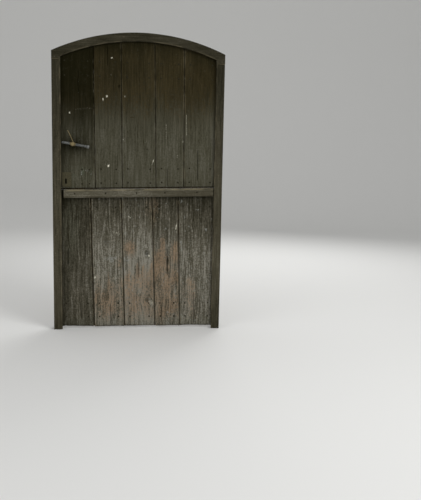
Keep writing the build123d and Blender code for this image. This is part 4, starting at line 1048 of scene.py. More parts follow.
def grain_group(name):
    """Weathered grain: growth bands, fibres, fine checks and the height that they give."""
    tree, given, results = new_group(
        name, "ShaderNodeTree",
        [("Vector", "Vector"), ("Band Width", "Float", 0.011), ("Fibre Width", "Float", 0.0016),
         ("Stretch", "Float", 22.0), ("Checks", "Float", 0.5)],
        [("Bands", "Float"), ("Fibres", "Float"), ("Checks", "Float"), ("Height", "Float")],
    )
    vector = given["Vector"]
    stretched = vector_of(1.0, 1.0, 1.0 / given["Stretch"])
    drawn = add(tree, "ShaderNodeVectorMath", {0: vector, 1: stretched}, operation="MULTIPLY")
    fibre_scale = 1.0 / given["Fibre Width"]
    rings = cloud(drawn, 0.35 / given["Band Width"], 2.0, 0.5, 0.4) * 9.0
    saw = maths("FRACT", rings)
    bands = span(saw, 0.0, 0.75) * span(saw, 1.0, 0.86)
    broad, fine = cloud(drawn, fibre_scale * 0.22, 3.0, 0.6), cloud(drawn, fibre_scale, 3.0, 0.7)
    fibres = span(broad * 0.55 + fine * 0.45, 0.30, 0.70)
    ridge = maths("ABSOLUTE", cloud(drawn, fibre_scale * 0.30, 2.0, 0.5) - 0.5)
    thin = span(ridge, 0.012, 0.0) * span(cloud(vector, 16.0, 2.0, 0.5), 0.46, 0.66)
    checks = clamped(thin * given["Checks"])
    height = fibres * 0.6 + bands * 0.4 - checks * 1.2
    for label, value in (("Bands", bands), ("Fibres", fibres), ("Checks", checks), ("Height", height)):
        feed(results[label], value)
    return tree


def speckle_group(name):
    """Fine dust and dirt that lies in spots, free of the grain."""
    tree, given, results = new_group(
        name, "ShaderNodeTree", [("Vector", "Vector"), ("Size", "Float", 0.004), ("Cover", "Float", 0.3)],
        [("Mask", "Float")],
    )
    scale = 1.0 / given["Size"]
    both = cloud(given["Vector"], scale * 0.22, 3.0, 0.6) * cloud(given["Vector"], scale, 4.0, 0.7)
    edge = 0.42 - given["Cover"] * 0.25
    feed(results["Mask"], span(both, edge, edge + 0.10))
    return tree


def rust_group(name):
    """Rust that blooms in patches over forged iron."""
    tree, given, results = new_group(
        name, "ShaderNodeTree",
        [("Vector", "Vector"), ("Metal", "Color", (0.03, 0.03, 0.03, 1)),
         ("Rust", "Color", (0.1, 0.04, 0.01, 1)), ("Bloom", "Color", (0.3, 0.12, 0.03, 1)),
         ("Amount", "Float", 0.6), ("Scale", "Float", 60.0)],
        [("Colour", "Color"), ("Mask", "Float"), ("Height", "Float")],
    )
    metal, rust = given["Metal"], given["Rust"]
    patches = cloud(given["Vector"], given["Scale"], 5.0, 0.62, 0.3)
    pits = cloud(given["Vector"], given["Scale"] * 5.5, 3.0, 0.6)
    edge = 0.72 - given["Amount"] * 0.45
    mask = span(patches, edge, edge + 0.12)
    scaly = blend(span(pits, 0.35, 0.65), metal, blend(0.5, metal, rust))
    rusty = blend(span(pits, 0.42, 0.68), rust, given["Bloom"])
    feed(results["Colour"], blend(mask, scaly, rusty))
    feed(results["Mask"], mask)
    feed(results["Height"], pits * 0.6 + mask * 0.35)
    return tree


# Materials

def new_material(name):
    material = bpy.data.materials.new(name)
    material.use_nodes = True
    tree = material.node_tree
    tree.nodes.clear()
    shader = tree.nodes.new("ShaderNodeBsdfPrincipled")
    tree.links.new(shader.outputs[0], tree.nodes.new("ShaderNodeOutputMaterial").inputs[0])
    return material, tree, shader


def shade_with(shader, colour_of, rough, shine, bump, distance_of, height):
    """Feed the sockets that every wood and iron has in common."""
    feed(shader.inputs["Base Color"], colour_of)
    feed(shader.inputs["Roughness"], rough)
    shader.inputs["Specular IOR Level"].default_value = shine
    relief = {"Strength": bump, "Distance": distance_of, "Height": height}
    feed(shader.inputs["Normal"], add(shader.id_data, "ShaderNodeBump", relief))


def attribute_of(tree, name):
    return add(tree, "ShaderNodeAttribute", output="Vector", attribute_name=name)


def masks_of(tree, name):
    parts = new_node(tree, "ShaderNodeSeparateXYZ", {0: attribute_of(tree, name)})
    return [Wire(socket) for socket in parts.outputs]


def ragged_edge(mask, noise, low, high, depth):
    """Break a soft mask into flakes with a noise."""
    return span(mask + (noise - 0.5) * depth, low, high) * span(mask, 0.0, 0.08)


UPPER_TONES = ("upper_dark", "upper_mid", "upper_pale")
LOWER_TONES = ("lower_dark", "lower_mid", "lower_pale")
FRAME_TONES = ("frame_dark", "frame_mid", "frame_pale")
WOODS = {
    # each finish: its dark, middle and pale tones, then what differs from plain weathered wood
    "frame wood": (FRAME_TONES, {}),
    "peg wood": (FRAME_TONES, {"soot_level": 0.30}),
    "upper boards": (UPPER_TONES, {"warm_tone": "brown", "streak": 0.85, "shine": 0.06, "bump": 0.4}),
    "lower boards": (LOWER_TONES, {"streak": 1.1, "checks": 0.9, "bump": 0.6}),
    "rail wood": (LOWER_TONES, {"streak": 0.6, "shine": 0.0, "band": 0.007}),
    "ledge wood": (FRAME_TONES, {"checks": 0.5, "bump": 0.4}),
    "block wood": (("frame_dark", "inside", "frame_pale"), {"soot_level": 0.10}),
    "upper torn fibre": (("upper_dark", "upper_pale", "upper_pale"), {"soot_level": 0.12, "checks": 0.2}),
    "lower torn fibre": (("lower_dark", "straw", "straw"), {"soot_level": 0.12, "checks": 0.2}),
}


def wood_finish(name):
    """One of the finishes in WOODS, built when it is first asked for."""
    tones, differences = WOODS[name]
    return bpy.data.materials.get(name) or weathered_wood(name, tones, **differences)


def weathered_wood(
    name, tones, warm_tone="bare", streak=0.8, shine=0.12, checks=0.7, bump=0.5, band=0.011, soot_level=None
):
    """Weathered timber: three tones along the grain, then dirt with painted shade, bare wood, algae, paint
    and spots.

    A piece without masks gives a darkness level, and its grain then follows the object's own place.
    """
    wood = settings().wood
    dark, mid, pale = (getattr(wood, tone_name) for tone_name in tones)
    warm_colour = getattr(wood, warm_tone)
    material, tree, shader = new_material(name)
    place = add(tree, "ShaderNodeTexCoord", output="Object")
    vector = attribute_of(tree, "grain") if soot_level is None else place
    bands, fibres, check_lines, height = use_group(
        tree, "Weathered grain", grain_group, {"Vector": vector, "Band Width": band, "Checks": checks}
    )
    dust, = use_group(tree, "Speckle", speckle_group, {"Vector": place, "Size": 0.0030, "Cover": 0.40})
    flakes = cloud(place, 260.0, 3.0, 0.62)
    torn = cloud(vector, 120.0, 4.0, 0.65)
    soot, bare, algae = masks_of(tree, "stain")
    bleach, inside, paint = masks_of(tree, "bloom")
    marks, splash, edge = masks_of(tree, "marks")
    if soot_level is not None:
        soot, bleach = soot_level, 0.5
    ridge = fibres * 0.84 + bands * 0.16
    swing = (ridge - 0.48) * streak
    blotch = (torn - 0.5) * (streak * 1.7)
    lean = bleach + swing + blotch
    body = blend(span(lean, -0.15, 0.50), dark, mid)
    body = blend(span(lean, 0.45, 1.15), body, pale)
    warm = blend(clamped(ridge + blotch), shade(warm_colour, 0.50), warm_colour)
    warm_share = ragged_edge(bare + (ridge - 0.5) * 0.55, torn, 0.25, 1.15, 2.2)
    body = blend(warm_share * 0.78, body, warm)
    moss = algae * span(ridge, 0.30, 0.75)
    body = blend(moss * 0.60, body, wood.algae)
    dry = blend(span(ridge, 0.1, 0.9), shade(wood.inside, 0.55), wood.inside)
    body = blend(inside, body, dry)
    # Darken towards the darkest colour: dirt, and the painted shade that the masks carry
    body = blend(clamped(soot - swing * 0.35), body, wood.soot)
    body = blend(dust * 0.14, body, pale)
    body = blend(ragged_edge(paint, flakes, 0.40, 0.75, 2.2) * 0.60, body, wood.paint)
    # The edge mask lightens worn edges, and paints the highlight on the rail and the ledges
    body = blend(edge * 0.40, body, wood.straw)
    # Knots darken as dark wood; the fine checks, the cracks and the key's hole get painted shade
    knots_and_shaded_cracks = maths("MAXIMUM", check_lines * 0.60, ragged_edge(marks, torn, 0.20, 0.95, 1.6) * 0.85)
    body = blend(knots_and_shaded_cracks, body, wood.soot)
    splash_share = span(splash - span(flakes, 0.38, 0.62) * 0.65, 0.06, 0.34)
    body = blend(splash_share * splash, body, wood.splash)
    shade_with(shader, body, 0.92 - ridge * 0.14, shine, bump, 0.0011, height + splash_share * 0.5)
    return material


PLAIN_IRON = (("forged", 1), ("rust", 1), ("fresh_rust", 1))
IRONS = {
    # each finish: its metal, rust and bloom as a colour and a share of it, then how far rust covers
    # it, its roughness, how metallic it is, the scale of its patches, its bump and its shine
    "rusty iron": (PLAIN_IRON, 0.95, 0.75, 0.3, 150.0, 0.5, 0.4),
    "strap iron": (PLAIN_IRON, 0.55, 0.58, 0.5, 38.0, 0.6, 0.4),
    "lock iron": (PLAIN_IRON, 0.70, 0.60, 0.5, 70.0, 0.45, 0.4),
    "nail iron": ((("dirty", 0.40), ("dirty", 0.60), ("dirty", 0.90)), 0.75, 0.85, 0.0, 190.0, 0.5, 0.08),
    "plate iron": ((("dirty", 0.7), ("dirty", 1.3), ("dirty", 2.4)), 0.95, 0.80, 0.1, 95.0, 0.5, 0.12),
    "wire iron": ((("hub", 0.7), ("hub", 1), ("hub", 1.3)), 0.85, 0.70, 0.3, 160.0, 0.5, 0.4),
}


def iron_finish(name):
    """One of the finishes in IRONS, built when it is first asked for."""
    return bpy.data.materials.get(name) or forged_iron(name, *IRONS[name])


def forged_iron(name, tones, amount, rough, metallic, scale, bump, shine):
    """Hand-forged iron with hammer marks and patches of rust."""
    metal, rust, bloom = (shade(getattr(settings().iron, tone_name), share) for tone_name, share in tones)
    material, tree, shader = new_material(name)
    place = add(tree, "ShaderNodeTexCoord", output="Object")
    colour_out, mask, height = use_group(tree, "Rust", rust_group, {
        "Vector": place, "Metal": metal, "Rust": rust, "Bloom": bloom, "Amount": amount, "Scale": scale,
    })
    hammer = add(tree, "ShaderNodeTexVoronoi", {"Vector": place, "Scale": 85.0}, feature="SMOOTH_F1")
    feed(shader.inputs["Metallic"], (1.0 - mask) * metallic)
    roughness, lump = span(mask, 0.0, 1.0, rough, 0.92), height * 0.5 + hammer * 0.8
    shade_with(shader, colour_out, roughness, shine, bump, 0.0009, lump)
    return material


def lever_steel(name):
    """Grey steel of the lever, rubbed bright by hands, with rust at its hub."""
    iron = settings().iron
    material, tree, shader = new_material(name)
    place = add(tree, "ShaderNodeTexCoord", output="Object")
    worn = cloud(place, 90.0, 4.0, 0.6)
    body = blend(span(worn, 0.42, 0.70), iron.steel, iron.rubbed)
    body = blend(span(cloud(place, 260.0, 3.0, 0.6), 0.52, 0.70), body, shade(iron.steel, 0.4))
    near = span(distance(place, SPINDLE[:]) + (worn - 0.5) * 0.012, 0.0215, 0.0150)
    rusty, _, height = use_group(tree, "Rust", rust_group, {
        "Vector": place, "Metal": shade(iron.hub, 0.45), "Rust": shade(iron.hub, 0.6), "Bloom": iron.hub,
        "Amount": 1.0, "Scale": 120.0,
    })
    body = blend(near, body, rusty)
    tip = distance(place, LEVER_TIP) + (worn - 0.5) * 0.010
    body = blend(span(tip, 0.016, 0.006), body, shade(iron.rubbed, 1.15))
    feed(shader.inputs["Metallic"], (1.0 - near) * 0.25)
    shade_with(shader, body, span(near, 0.0, 1.0, 0.55, 0.90), 0.30, 0.45, 0.0006, height)
    return material


def finish(nodes, material):
    """Give CAD nodes a material."""
    for name in nodes:
        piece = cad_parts[name]
        for place in piece.material_slots:
            place.link = "OBJECT"
            place.material = material


def place_piece(piece, body, node=None, material=None):
    """Finish one of this file's own pieces, which may stand for a node, and let it move with its body."""
    if node is not None:
        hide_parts(node)
    if material is not None:
        piece.data.materials.clear()
        piece.data.materials.append(material)
    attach(piece, body)


# Geometry Nodes

def random_number(low, high, seed):
    return add(seed.tree, "FunctionNodeRandomValue", {2: low, 3: high, "Seed": seed}, 1, data_type="FLOAT")


def cone(tree, vertices, segments, top, bottom, depth):
    sizes = {"Radius Top": top, "Radius Bottom": bottom, "Depth": depth}
    counts = {"Vertices": vertices, "Side Segments": segments, "Fill Segments": 1}
    return add(tree, "GeometryNodeMeshCone", {**counts, **sizes}, fill_type="NGON")


def moved_by(geometry, **how):
    inputs = {key.capitalize(): value for key, value in how.items()}
    return add(geometry.tree, "GeometryNodeTransform", {"Geometry": geometry, **inputs})


def copies(points, instance, **how):
    inputs = {"Points": points, "Instance": instance}
    inputs.update({key.capitalize(): value for key, value in how.items()})
    return add(points.tree, "GeometryNodeInstanceOnPoints", inputs)


def end_tree(tree, results, instances, material):
    """End a tree as the export needs it: real meshes that carry their material."""
    whole = add(tree, "GeometryNodeRealizeInstances", {0: instances})
    feed(results[0], add(tree, "GeometryNodeSetMaterial", {"Geometry": whole, "Material": material}))
    return tree


def nail_tree():
    """Rose-headed nails driven through the boards and clenched over the ledges."""
    tree, given, results = new_group("Clenched nails", "GeometryNodeTree", [
        ("Places", "Geometry"), ("Head Width", "Float", 0.010), ("Head Height", "Float", 0.0028),
        ("Shank", "Float", 0.004), ("Depth", "Float", 0.053), ("Clench", "Float", 0.012), ("Seed", "Int", 3),
        ("Material", "Material"),
    ], [("Nails", "Geometry")])
    points, seed, wide = given["Places"], given["Seed"], given["Head Width"]
    head = cone(tree, 7, 2, wide * 0.16, wide * 0.52, given["Head Height"])
    facing = moved_by(moved_by(head, rotation=(pi / 2, 0, 0)), translation=(0, 0.0004, 0))
    turn = vector_of(y=random_number(0.0, 2 * pi, seed))
    grow = random_number(0.86, 1.10, seed + 1)
    heads = copies(points, facing, rotation=turn, scale=vector_of(grow, 1.0, grow))
    bar = cone(tree, 4, 3, given["Shank"] * 0.30, given["Shank"] * 0.70, given["Clench"])
    behind = vector_of(0.0, given["Depth"] + 0.0011, -0.0018)
    bar = moved_by(moved_by(bar, rotation=(0, 0, pi / 4)), scale=(1.0, 0.60, 1.0), translation=behind)
    way = add(tree, "GeometryNodeInputNamedAttribute", {"Name": "clench"}, data_type="FLOAT")
    bars = copies(points, bar, rotation=vector_of(y=maths("LESS_THAN", way, 0.0) * pi))
    join = new_node(tree, "GeometryNodeJoinGeometry")
    for part in (heads, bars):
        feed(join.inputs[0], part)
    return end_tree(tree, results, Wire(join.outputs[0]), given["Material"])


def splinter_tree():
    """Torn fibres that stand along a board's edges."""
    tree, given, results = new_group("Torn fibres", "GeometryNodeTree", [
        ("Edges", "Geometry"), ("Spacing", "Float", 0.03), ("Fibre Length", "Float", 0.022),
        ("Fibre Width", "Float", 0.0009), ("Seed", "Int", 5), ("Material", "Material"),
    ], [("Fibres", "Geometry")])
    seed, wide = given["Seed"], given["Fibre Width"]
    line = add(tree, "GeometryNodeMeshToCurve", {0: given["Edges"]})
    spaced = {"Curve": line, "Length": given["Spacing"]}
    points = add(tree, "GeometryNodeCurveToPoints", spaced, mode="LENGTH")
    aside = vector_of(random_number(-0.0008, 0.0008, seed), 0.0, random_number(-0.02, 0.02, seed + 2))
    points = add(tree, "GeometryNodeSetPosition", {"Geometry": points, "Offset": aside})
    fibre = cone(tree, 5, 3, wide * 0.12, wide, given["Fibre Length"])
    lean = vector_of(random_number(0.02, 0.09, seed + 3), random_number(-0.10, 0.10, seed + 4), 0.0)
    grow = vector_of(1.0, 0.6, random_number(0.35, 1.5, seed + 5))
    return end_tree(tree, results, copies(points, fibre, rotation=lean, scale=grow), given["Material"])


def settled(name, carrier):
    """Keep what an object's modifiers make as the plain mesh of a new object."""
    graph = bpy.context.evaluated_depsgraph_get()
    mesh = bpy.data.meshes.new_from_object(carrier.evaluated_get(graph))
    mesh.name = name
    bpy.data.objects.remove(carrier)
    return put(name, mesh)


def grown(name, source, tree, values):
    """Run a Geometry Nodes tree on a source mesh and keep the result as a plain mesh."""
    carrier = put(name + "_source", source)
    modifier = carrier.modifiers.new(tree.name, "NODES")
    modifier.node_group = tree
    for item in tree.interface.items_tree:
        if item.in_out == "INPUT" and item.name in values:
            modifier[item.identifier] = values[item.name]
    return settled(name, carrier)


# The pieces

class DOOR_OT_frame_timber(bpy.types.Operator):
    """Build the worn jambs and the arched head, and finish their pegs"""
    bl_idname = "door.frame_timber"
    bl_label = "Frame"

    def execute(self, context):
        for piece, node in (jamb(-1), jamb(1), frame_head()):
            place_piece(piece, "frame", node, wood_finish("frame wood"))
        finish(["frame_pegs"], wood_finish("peg wood"))
        return {"FINISHED"}


def build_boards(name):
    """Build the five boards of a leaf."""
    leaf, slot = Leaf(name), f"{name}_boards"
    for index in range(BOARDS):
        node = f"{name}_board_{index + 1}"
        place_piece(board(leaf, index), f"{name}_leaf", node, wood_finish(f"{name} boards"))


class DOOR_OT_upper_boards(bpy.types.Operator):
    """Build the five boards of the upper leaf"""
    bl_idname = "door.upper_boards"
    bl_label = "Upper boards"

    def execute(self, context):
        build_boards("upper")
        return {"FINISHED"}


class DOOR_OT_lower_boards(bpy.types.Operator):
    """Build the five boards of the lower leaf, with their rotten feet"""
    bl_idname = "door.lower_boards"
    bl_label = "Lower boards"

    def execute(self, context):
        build_boards("lower")
        return {"FINISHED"}


class DOOR_OT_rail(bpy.types.Operator):
    """Build the middle rail, with a painted highlight along its upper edge and painted shade along its lower
    edge
    """
    bl_idname = "door.rail"
    bl_label = "Middle rail"

    def execute(self, context):
        shape = settings().shape
        look = LevelLook(
            # The upper arris, corners 3 and 4, gets a painted highlight
            corners=(3, 4), reach=0.0035, light=1.60, inside=0,
            soot=lambda x, v: (
                # Darker along the lower edge and on the top face towards the left: painted shade
                0.04 + 0.16 * rise(x, 0.0, 0.3) + 0.30 * bell(v, -0.0255, 0.008)
                + (0.30 - 0.30 * rise(x, -0.30, 0.10)) * rise(v, 0.0195, 0.0225)
            ),
            bleach=lambda x: 0.54 - 0.18 * rise(x, 0.05, 0.35),
        )
        piece = level_timber(
            "mid_rail", lambda x: joint_line(shape, x, -shape.rail_height), lambda x: joint_line(shape, x),
            RAIL_CHAMFER, "front", look, RAIL_SEED, RAIL_STATIONS,
        )
        place_piece(piece, "lower_leaf", "mid_rail", wood_finish("rail wood"))
        return {"FINISHED"}


# Each ledge, its seed, and its lower and upper edge: heights above the joint, or none for a level one

LEDGES = (
    ("upper_ledge_top", 421, None), ("upper_ledge_bottom", 431, (-0.0023, 0.134)),
    ("lower_ledge_top", 441, (-0.130, -0.010)), ("lower_ledge_bottom", 451, None),
)


class DOOR_OT_ledges(bpy.types.Operator):
    """Build the four ledges behind the boards, and finish the latch's block"""
    bl_idname = "door.ledges"
    bl_label = "Ledges"

    def execute(self, context):
        shape = settings().shape
        look = LevelLook(
            # The back corners get a faint painted highlight
            corners=(2, 3), reach=0.004, light=0.35, inside=0.9,
            soot=lambda x, v: 0.12 + 0.10 * np.abs(x), bleach=lambda x: 0.35,
        )
        for name, seed, above in LEDGES:
            if above is None:
                edges = [lambda x, v=corner.z: x * 0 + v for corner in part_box(name)]
            else:
                edges = [lambda x, d=offset: joint_line(shape, x, d) for offset in above]
            piece = level_timber(name, *edges, LEDGE_CHAMFER, "back", look, seed, LEDGE_STATIONS)
            place_piece(piece, name.split("_")[0] + "_leaf", name, wood_finish("ledge wood"))
        finish(["latch_block"], wood_finish("block wood"))
        return {"FINISHED"}


NAIL_FROM_SEAM = 0.034
NAIL_FROM_LOCK = 0.132
NAIL_ROW = 0.041
LEVEL_LEDGE_MIDDLE = 0.055
SLOPING_LEDGE_MIDDLE = {"upper": 0.074, "lower": -0.070}


def nail_places(leaf, shape):
    """Where the boards are nailed to the ledges, and which way each nail is clenched."""
    level_ledge = "upper_ledge_top" if leaf.upper else "lower_ledge_bottom"
    rows = [(at(level_ledge, 0, 2) + LEVEL_LEDGE_MIDDLE, False), (SLOPING_LEDGE_MIDDLE[leaf.name], True)]
    found, ways = [], []
    for height, sloping in rows if leaf.upper else reversed(rows):
        for row in (-1,) if sloping and not leaf.upper else (-1, 1):
            for index in range(BOARDS):
                middle = (leaf.seam(index, 0) + leaf.seam(index + 1, 0)) / 2
                z = (joint_line(shape, middle, height) if sloping else height) + row * NAIL_ROW
                behind_lock = leaf.upper and sloping and index == 0
                left = leaf.seam(index, z) + (NAIL_FROM_LOCK if behind_lock else NAIL_FROM_SEAM)
                for x in (left, leaf.seam(index + 1, z) - NAIL_FROM_SEAM):
                    found.append((x, shape.front, z))
                    ways.append(-row)
    return found, ways


def drive_nails(name, tree, found, ways, seed, body, node):
    """Set a nail at each place, from its board's face to the back of the ledges."""
    source = bpy.data.meshes.new(f"{name} nail places")
    source.from_pydata(found, [], [])
    attribute = source.attributes.new("clench", "FLOAT", "POINT")
    attribute.data.foreach_set("value", np.array(ways, np.float32))
    depth = settings().shape.ledge_back - found[0][1]
    values = {"Depth": depth, "Seed": seed, "Material": iron_finish("nail iron")}
    place_piece(grown(f"{name}_nails_forged", source, tree, values), body, node)


class DOOR_OT_nails(bpy.types.Operator):
    """Drive and clench the nails of the boards and of the rail"""
    bl_idname = "door.nails"
    bl_label = "Nails"

    def execute(self, context):
        shape, tree = settings().shape, nail_tree()
        for name, seed in LEAF_SEEDS.items():
            found, ways = nail_places(Leaf(name), shape)
            drive_nails(name, tree, found, ways, seed, f"{name}_leaf", f"{name}_board_nails")
        leaf, face = Leaf("lower"), at("mid_rail", 0, 1)
        found = []
        for index in range(BOARDS):
            z = joint_line(shape, 0, -shape.rail_height / 2)
            x = (leaf.seam(index, z) + leaf.seam(index + 1, z)) / 2
            found.append((x, face, joint_line(shape, x, -shape.rail_height / 2)))
        drive_nails("rail", tree, found, [-1] * BOARDS, RAIL_NAIL_SEED, "lower_leaf", "mid_rail_nails")
        return {"FINISHED"}


FIBRE_REACH = {"upper": (0.90, 1.58), "lower": (0.03, 0.78)}
FIBRE_SHARE = {"upper": 0.5, "lower": 1.0}
FIBRE_INSET = 0.0016
FIBRE_POINTS = 12


class DOOR_OT_fibres(bpy.types.Operator):
    """Stand torn fibres along the boards' edges"""
    bl_idname = "door.fibres"
    bl_label = "Torn fibres"

    def execute(self, context):
        shape, wear = settings()[:2]
        tree = splinter_tree()
        for name, seed in LEAF_SEEDS.items():
            leaf = Leaf(name)
            verts, edges = [], []
            for line in range(1, BOARDS):
                for side in (-1, 1):
                    aside = side * (leaf.gap / 2 + FIBRE_INSET)
                    heights = np.linspace(*FIBRE_REACH[name], FIBRE_POINTS)
                    edges += [(k, k + 1) for k in range(len(verts), len(verts) + FIBRE_POINTS - 1)]
                    verts += [(leaf.seam(line, z) + aside, shape.front + FIBRE_INSET, z) for z in heights]
            mesh = bpy.data.meshes.new(f"{name} edges")
            mesh.from_pydata(verts, edges, [])
            spacing = 1 / (wear.splinters * FIBRE_SHARE[name])
            values = {"Spacing": spacing, "Seed": seed, "Material": wood_finish(f"{name} torn fibre")}
            place_piece(grown(f"{name}_torn_fibres", mesh, tree, values), f"{name}_leaf")
        return {"FINISHED"}


class DOOR_OT_hinges(bpy.types.Operator):
    """Finish the forged straps, their nails and the pintles"""
    bl_idname = "door.hinges"
    bl_label = "Hinges"

    def execute(self, context):
        for leaf in LEAF_SEEDS:
            for end in ("top", "bottom"):
                pair = [f"{leaf}_strap_{end}", f"pintle_{leaf}_{end}"]
                finish(pair, iron_finish("strap iron"))
            finish([f"{leaf}_strap_nails"], iron_finish("rusty iron"))
        return {"FINISHED"}


# The lever in mm: place along it, half depth and half height of each ring

LEVER_RINGS = (
    (-64.5, 0.2, 0.2), (-64.0, 3.4, 3.4), (-62.0, 5.6, 5.6), (-58.0, 6.8, 6.8), (-45.0, 7.2, 7.2),
    (-30.0, 7.6, 7.6), (-15.0, 8.0, 8.0), (0.0, 8.3, 8.3), (15.0, 8.2, 8.2), (30.0, 7.9, 7.9),
    (45.0, 7.5, 7.5), (58.0, 7.1, 7.1), (66.0, 6.9, 7.0), (72.0, 6.0, 7.6), (80.0, 4.9, 8.6),
    (88.0, 3.9, 9.4), (93.5, 3.2, 9.5), (95.8, 2.2, 7.2), (96.6, 0.3, 0.5),
)
LEVER_SIDES = 28
HUB_SIDES = 40
HUB_HALF, HUB_BORE, HUB_RIM, HUB_CHAMFER = 0.0095, 0.0061, 0.0123, 0.002
FORGE_VOXEL = 0.0008
FORGE_ROUNDS = 3


def lever_bar():
    """The two arms of the lever as a closed tube along X."""
    turn = np.linspace(0, 2 * pi, LEVER_SIDES, endpoint=False)
    x, deep, high = np.array(LEVER_RINGS).T[..., None] / 1000
    wobble = 0.00025 * field(x * 90, x * 0, 5)
    rings = [x + turn * 0, deep * np.cos(turn), wobble + high * np.sin(turn)]
    return skin("lever bar", np.stack(rings, -1))


def lever_hub():
    """The ring round the spindle, along Y."""
    shoulder, neck = HUB_RIM - HUB_CHAMFER, HUB_HALF - HUB_CHAMFER
    half = [(HUB_BORE, -HUB_HALF), (shoulder, -HUB_HALF), (HUB_RIM, -neck)]
    profile = half + [(radius, -y) for radius, y in reversed(half)]
    angles = np.linspace(0, 2 * pi, HUB_SIDES, endpoint=False)
    points = [(r * cos(a), y, r * sin(a)) for a in angles for r, y in profile]
    index = np.arange(len(points)).reshape(HUB_SIDES, len(profile))
    mesh = bpy.data.meshes.new("lever hub")
    mesh.from_pydata(points, [], ring_faces(np.concatenate([index, index[:1]])))
    return put("lever hub", mesh)


def fused(name, parts, voxel, rounds):
    """Join overlapping shapes into one skin, as a forging is one piece."""
    work = bmesh.new()
    for part in parts:
        work.from_mesh(part.data)
        bpy.data.objects.remove(part)
    bmesh.ops.recalc_face_normals(work, faces=work.faces)
    mesh = bpy.data.meshes.new(name)
    work.to_mesh(mesh)
    work.free()
    carrier = put(name + "_parts", mesh)
    remesh = carrier.modifiers.new("Fuse", "REMESH")
    remesh.mode = "VOXEL"
    remesh.voxel_size = voxel
    relax = carrier.modifiers.new("Relax", "SMOOTH")
    relax.iterations = rounds
    relax.factor = 0.5
    piece = settled(name, carrier)
    smooth(piece.data)
    return piece


def lever():
    """The forged lever: a thin left arm, a longer right arm flattened at its end, and its hub."""
    piece = fused("lever_forged", [lever_bar(), lever_hub()], FORGE_VOXEL, FORGE_ROUNDS)
    piece.data.transform(Matrix.Translation(SPINDLE) @ Matrix.Rotation(LEVER_DROP, 4, "Y"))
    return piece


class DOOR_OT_latch(bpy.types.Operator):
    """Build the lever and finish the spindle, the bar and the loose wire"""
    bl_idname = "door.latch"
    bl_label = "Latch"

    def execute(self, context):
        place_piece(lever(), "latch", "lever_handle", lever_steel("lever steel"))
        finish(["spindle_cotter", "spindle_washer"], iron_finish("rusty iron"))
        finish(["lever_spindle", "spindle_wire"], iron_finish("wire iron"))
        finish(["latch_bar"], iron_finish("strap iron"))
        return {"FINISHED"}


class DOOR_OT_lock(bpy.types.Operator):
    """Finish the lock, the slide bolt, the keepers and their small fixings"""
    bl_idname = "door.lock"
    bl_label = "Lock and bolts"

    def execute(self, context):
        finish(["lock_case", "lock_bolt", "lock_spring", "lock_stump"], iron_finish("lock iron"))
        finish(["slide_bolt", "slide_bolt_knob"], iron_finish("strap iron"))
        small = ["lock_screws", "keeper_nails", "latch_guide", "latch_guide_nails", "slide_bolt_staples",
                 "slide_bolt_staple_nails", "latch_keeper", "lock_keeper", "slide_bolt_keeper"]
        finish(small, iron_finish("rusty iron"))
        finish(["escutcheon", "escutcheon_pins"], iron_finish("plate iron"))
        return {"FINISHED"}


# Stage

LAMPS = (
    # name, place, what it points at, width and height
    ("key", (2.6, -3.2, 3.4), (0, 0, 0.9), (2.2, 2.2)),
    ("fill", (-3.2, -3.0, 1.8), (0, 0, 0.8), (2.6, 2.6)),
    ("back", (1.5, 3.2, 3.0), (0, 0, 0.9), (2.6, 2.6)),
)
FLOOR_HALF = 14.0
FLOOR_DROP = 0.0006
FLOOR_BEND = 5.0
BEND_RADIUS = 3.0
BEND_STEPS = 12


def area_lamp(name, place, target, size):
    lamp = bpy.data.lights.new(name, "AREA")
    lamp.shape = "RECTANGLE"
    lamp.size, lamp.size_y = size
    lamp.energy = getattr(settings().stage, name)
    holder = put(name, lamp)
    holder.location = place
    holder.rotation_euler = (Vector(target) - Vector(place)).to_track_quat("-Z", "Y").to_euler()


def backdrop(material):
    """A pale floor that curves up into a wall far behind the door."""
    profile = [(-FLOOR_HALF, -FLOOR_DROP), (FLOOR_BEND, -FLOOR_DROP)]
    for k in range(1, BEND_STEPS + 1):
        a = k * pi / 2 / BEND_STEPS
        profile.append((FLOOR_BEND + BEND_RADIUS * sin(a), BEND_RADIUS * (1 - cos(a)) - FLOOR_DROP))
    profile.append((FLOOR_BEND + BEND_RADIUS, FLOOR_HALF))
    verts = [(x, y, z) for y, z in profile for x in (-FLOOR_HALF, FLOOR_HALF)]
    faces = [(2 * k, 2 * k + 1, 2 * k + 3, 2 * k + 2) for k in range(len(profile) - 1)]
    mesh = bpy.data.meshes.new("backdrop")
    mesh.from_pydata(verts, [], faces)
    smooth(mesh)
    mesh.materials.append(material)
    put("backdrop", mesh)


def place_camera(scene, stage):
    """Stand the camera where the photograph was taken."""
    forward = Vector((sin(stage.yaw), cos(stage.yaw), 0))
    right = Vector((cos(stage.yaw), -sin(stage.yaw), 0))
    up = Vector((0, 0, 1))
    ahead = forward * cos(stage.pitch) - up * sin(stage.pitch)
    above = up * cos(stage.pitch) + forward * sin(stage.pitch)
    side = right * cos(stage.roll) + above * sin(stage.roll)
    top = above * cos(stage.roll) - right * sin(stage.roll)
    camera = bpy.data.cameras.new("camera")
    camera.lens = stage.lens
    camera.sensor_width = 36.0
    turn = Matrix((side, top, -ahead)).transposed().to_4x4()
    holder = put("camera", camera)
    holder.matrix_world = Matrix.Translation(Vector(stage.camera)) @ turn
    scene.camera = holder


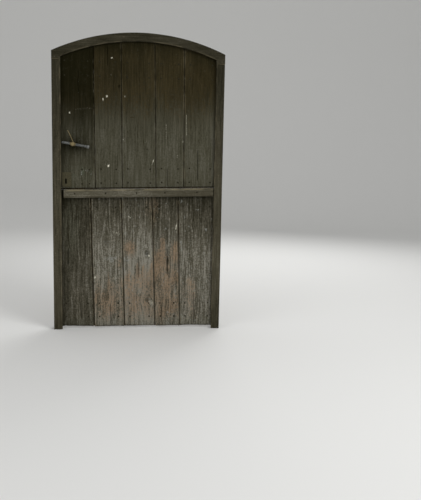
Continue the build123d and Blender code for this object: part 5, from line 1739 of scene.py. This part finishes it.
def even_light(strength):
    """Light from all round, which the camera and glossy surfaces see as white."""
    world = bpy.data.worlds.new("even light")
    world.use_nodes = True
    tree = world.node_tree
    tree.nodes.clear()
    seen = new_node(tree, "ShaderNodeLightPath").outputs
    shown = maths("MAXIMUM", Wire(seen["Is Camera Ray"]), Wire(seen["Is Glossy Ray"]))
    level = strength + shown * (1.0 - strength)
    plain = add(tree, "ShaderNodeBackground", {"Color": (1.0, 1.0, 1.0, 1.0), "Strength": level})
    feed(tree.nodes.new("ShaderNodeOutputWorld").inputs[0], plain)
    return world


class DOOR_OT_stage(bpy.types.Operator):
    """Set the camera at the photograph's place, with soft lamps and a pale floor"""
    bl_idname = "door.stage"
    bl_label = "Stage"

    def execute(self, context):
        scene, stage = context.scene, settings().stage
        material, _, shader = new_material("pale floor")
        for key, value in (("Base Color", stage.floor), ("Roughness", 0.95), ("Specular IOR Level", 0.0)):
            feed(shader.inputs[key], value)
        backdrop(material)
        place_camera(scene, stage)
        for lamp in LAMPS:
            area_lamp(*lamp)
        scene.world = even_light(stage.sky)
        scene.view_settings.view_transform = "Standard"
        return {"FINISHED"}


OPERATORS = (
    DOOR_OT_frame_timber, DOOR_OT_upper_boards, DOOR_OT_lower_boards, DOOR_OT_rail, DOOR_OT_ledges,
    DOOR_OT_nails, DOOR_OT_fibres, DOOR_OT_hinges, DOOR_OT_latch, DOOR_OT_lock, DOOR_OT_stage,
)
GROUPS = {
    "door_shape": DoorShape, "door_wear": DoorWear, "door_wood": DoorWood, "door_iron": DoorIron,
    "door_stage": DoorStage,
}


class DOOR_PT_sidebar(bpy.types.Panel):
    """Lists the pieces of the door and their settings"""
    bl_label = "Arched door"
    bl_idname = "DOOR_PT_sidebar"
    bl_space_type = "VIEW_3D"
    bl_region_type = "UI"
    bl_category = "Door"

    def draw(self, context):
        for operator in OPERATORS:
            self.layout.operator(operator.bl_idname)
        for name, group in GROUPS.items():
            box = self.layout.box()
            for key in group.__annotations__:
                box.prop(getattr(context.scene, name), key)


def register():
    for group in (*GROUPS.values(), *OPERATORS, DOOR_PT_sidebar):
        bpy.utils.register_class(group)
    for name, group in GROUPS.items():
        setattr(bpy.types.Scene, name, PointerProperty(type=group))


def unregister():
    for name in GROUPS:
        delattr(bpy.types.Scene, name)
    for group in (DOOR_PT_sidebar, *reversed(OPERATORS), *reversed(GROUPS.values())):
        bpy.utils.unregister_class(group)


def main():
    register()
    for operator in OPERATORS:
        section, name = operator.bl_idname.split(".")
        getattr(getattr(bpy.ops, section), name)()


if __name__ == "__main__":
    main()
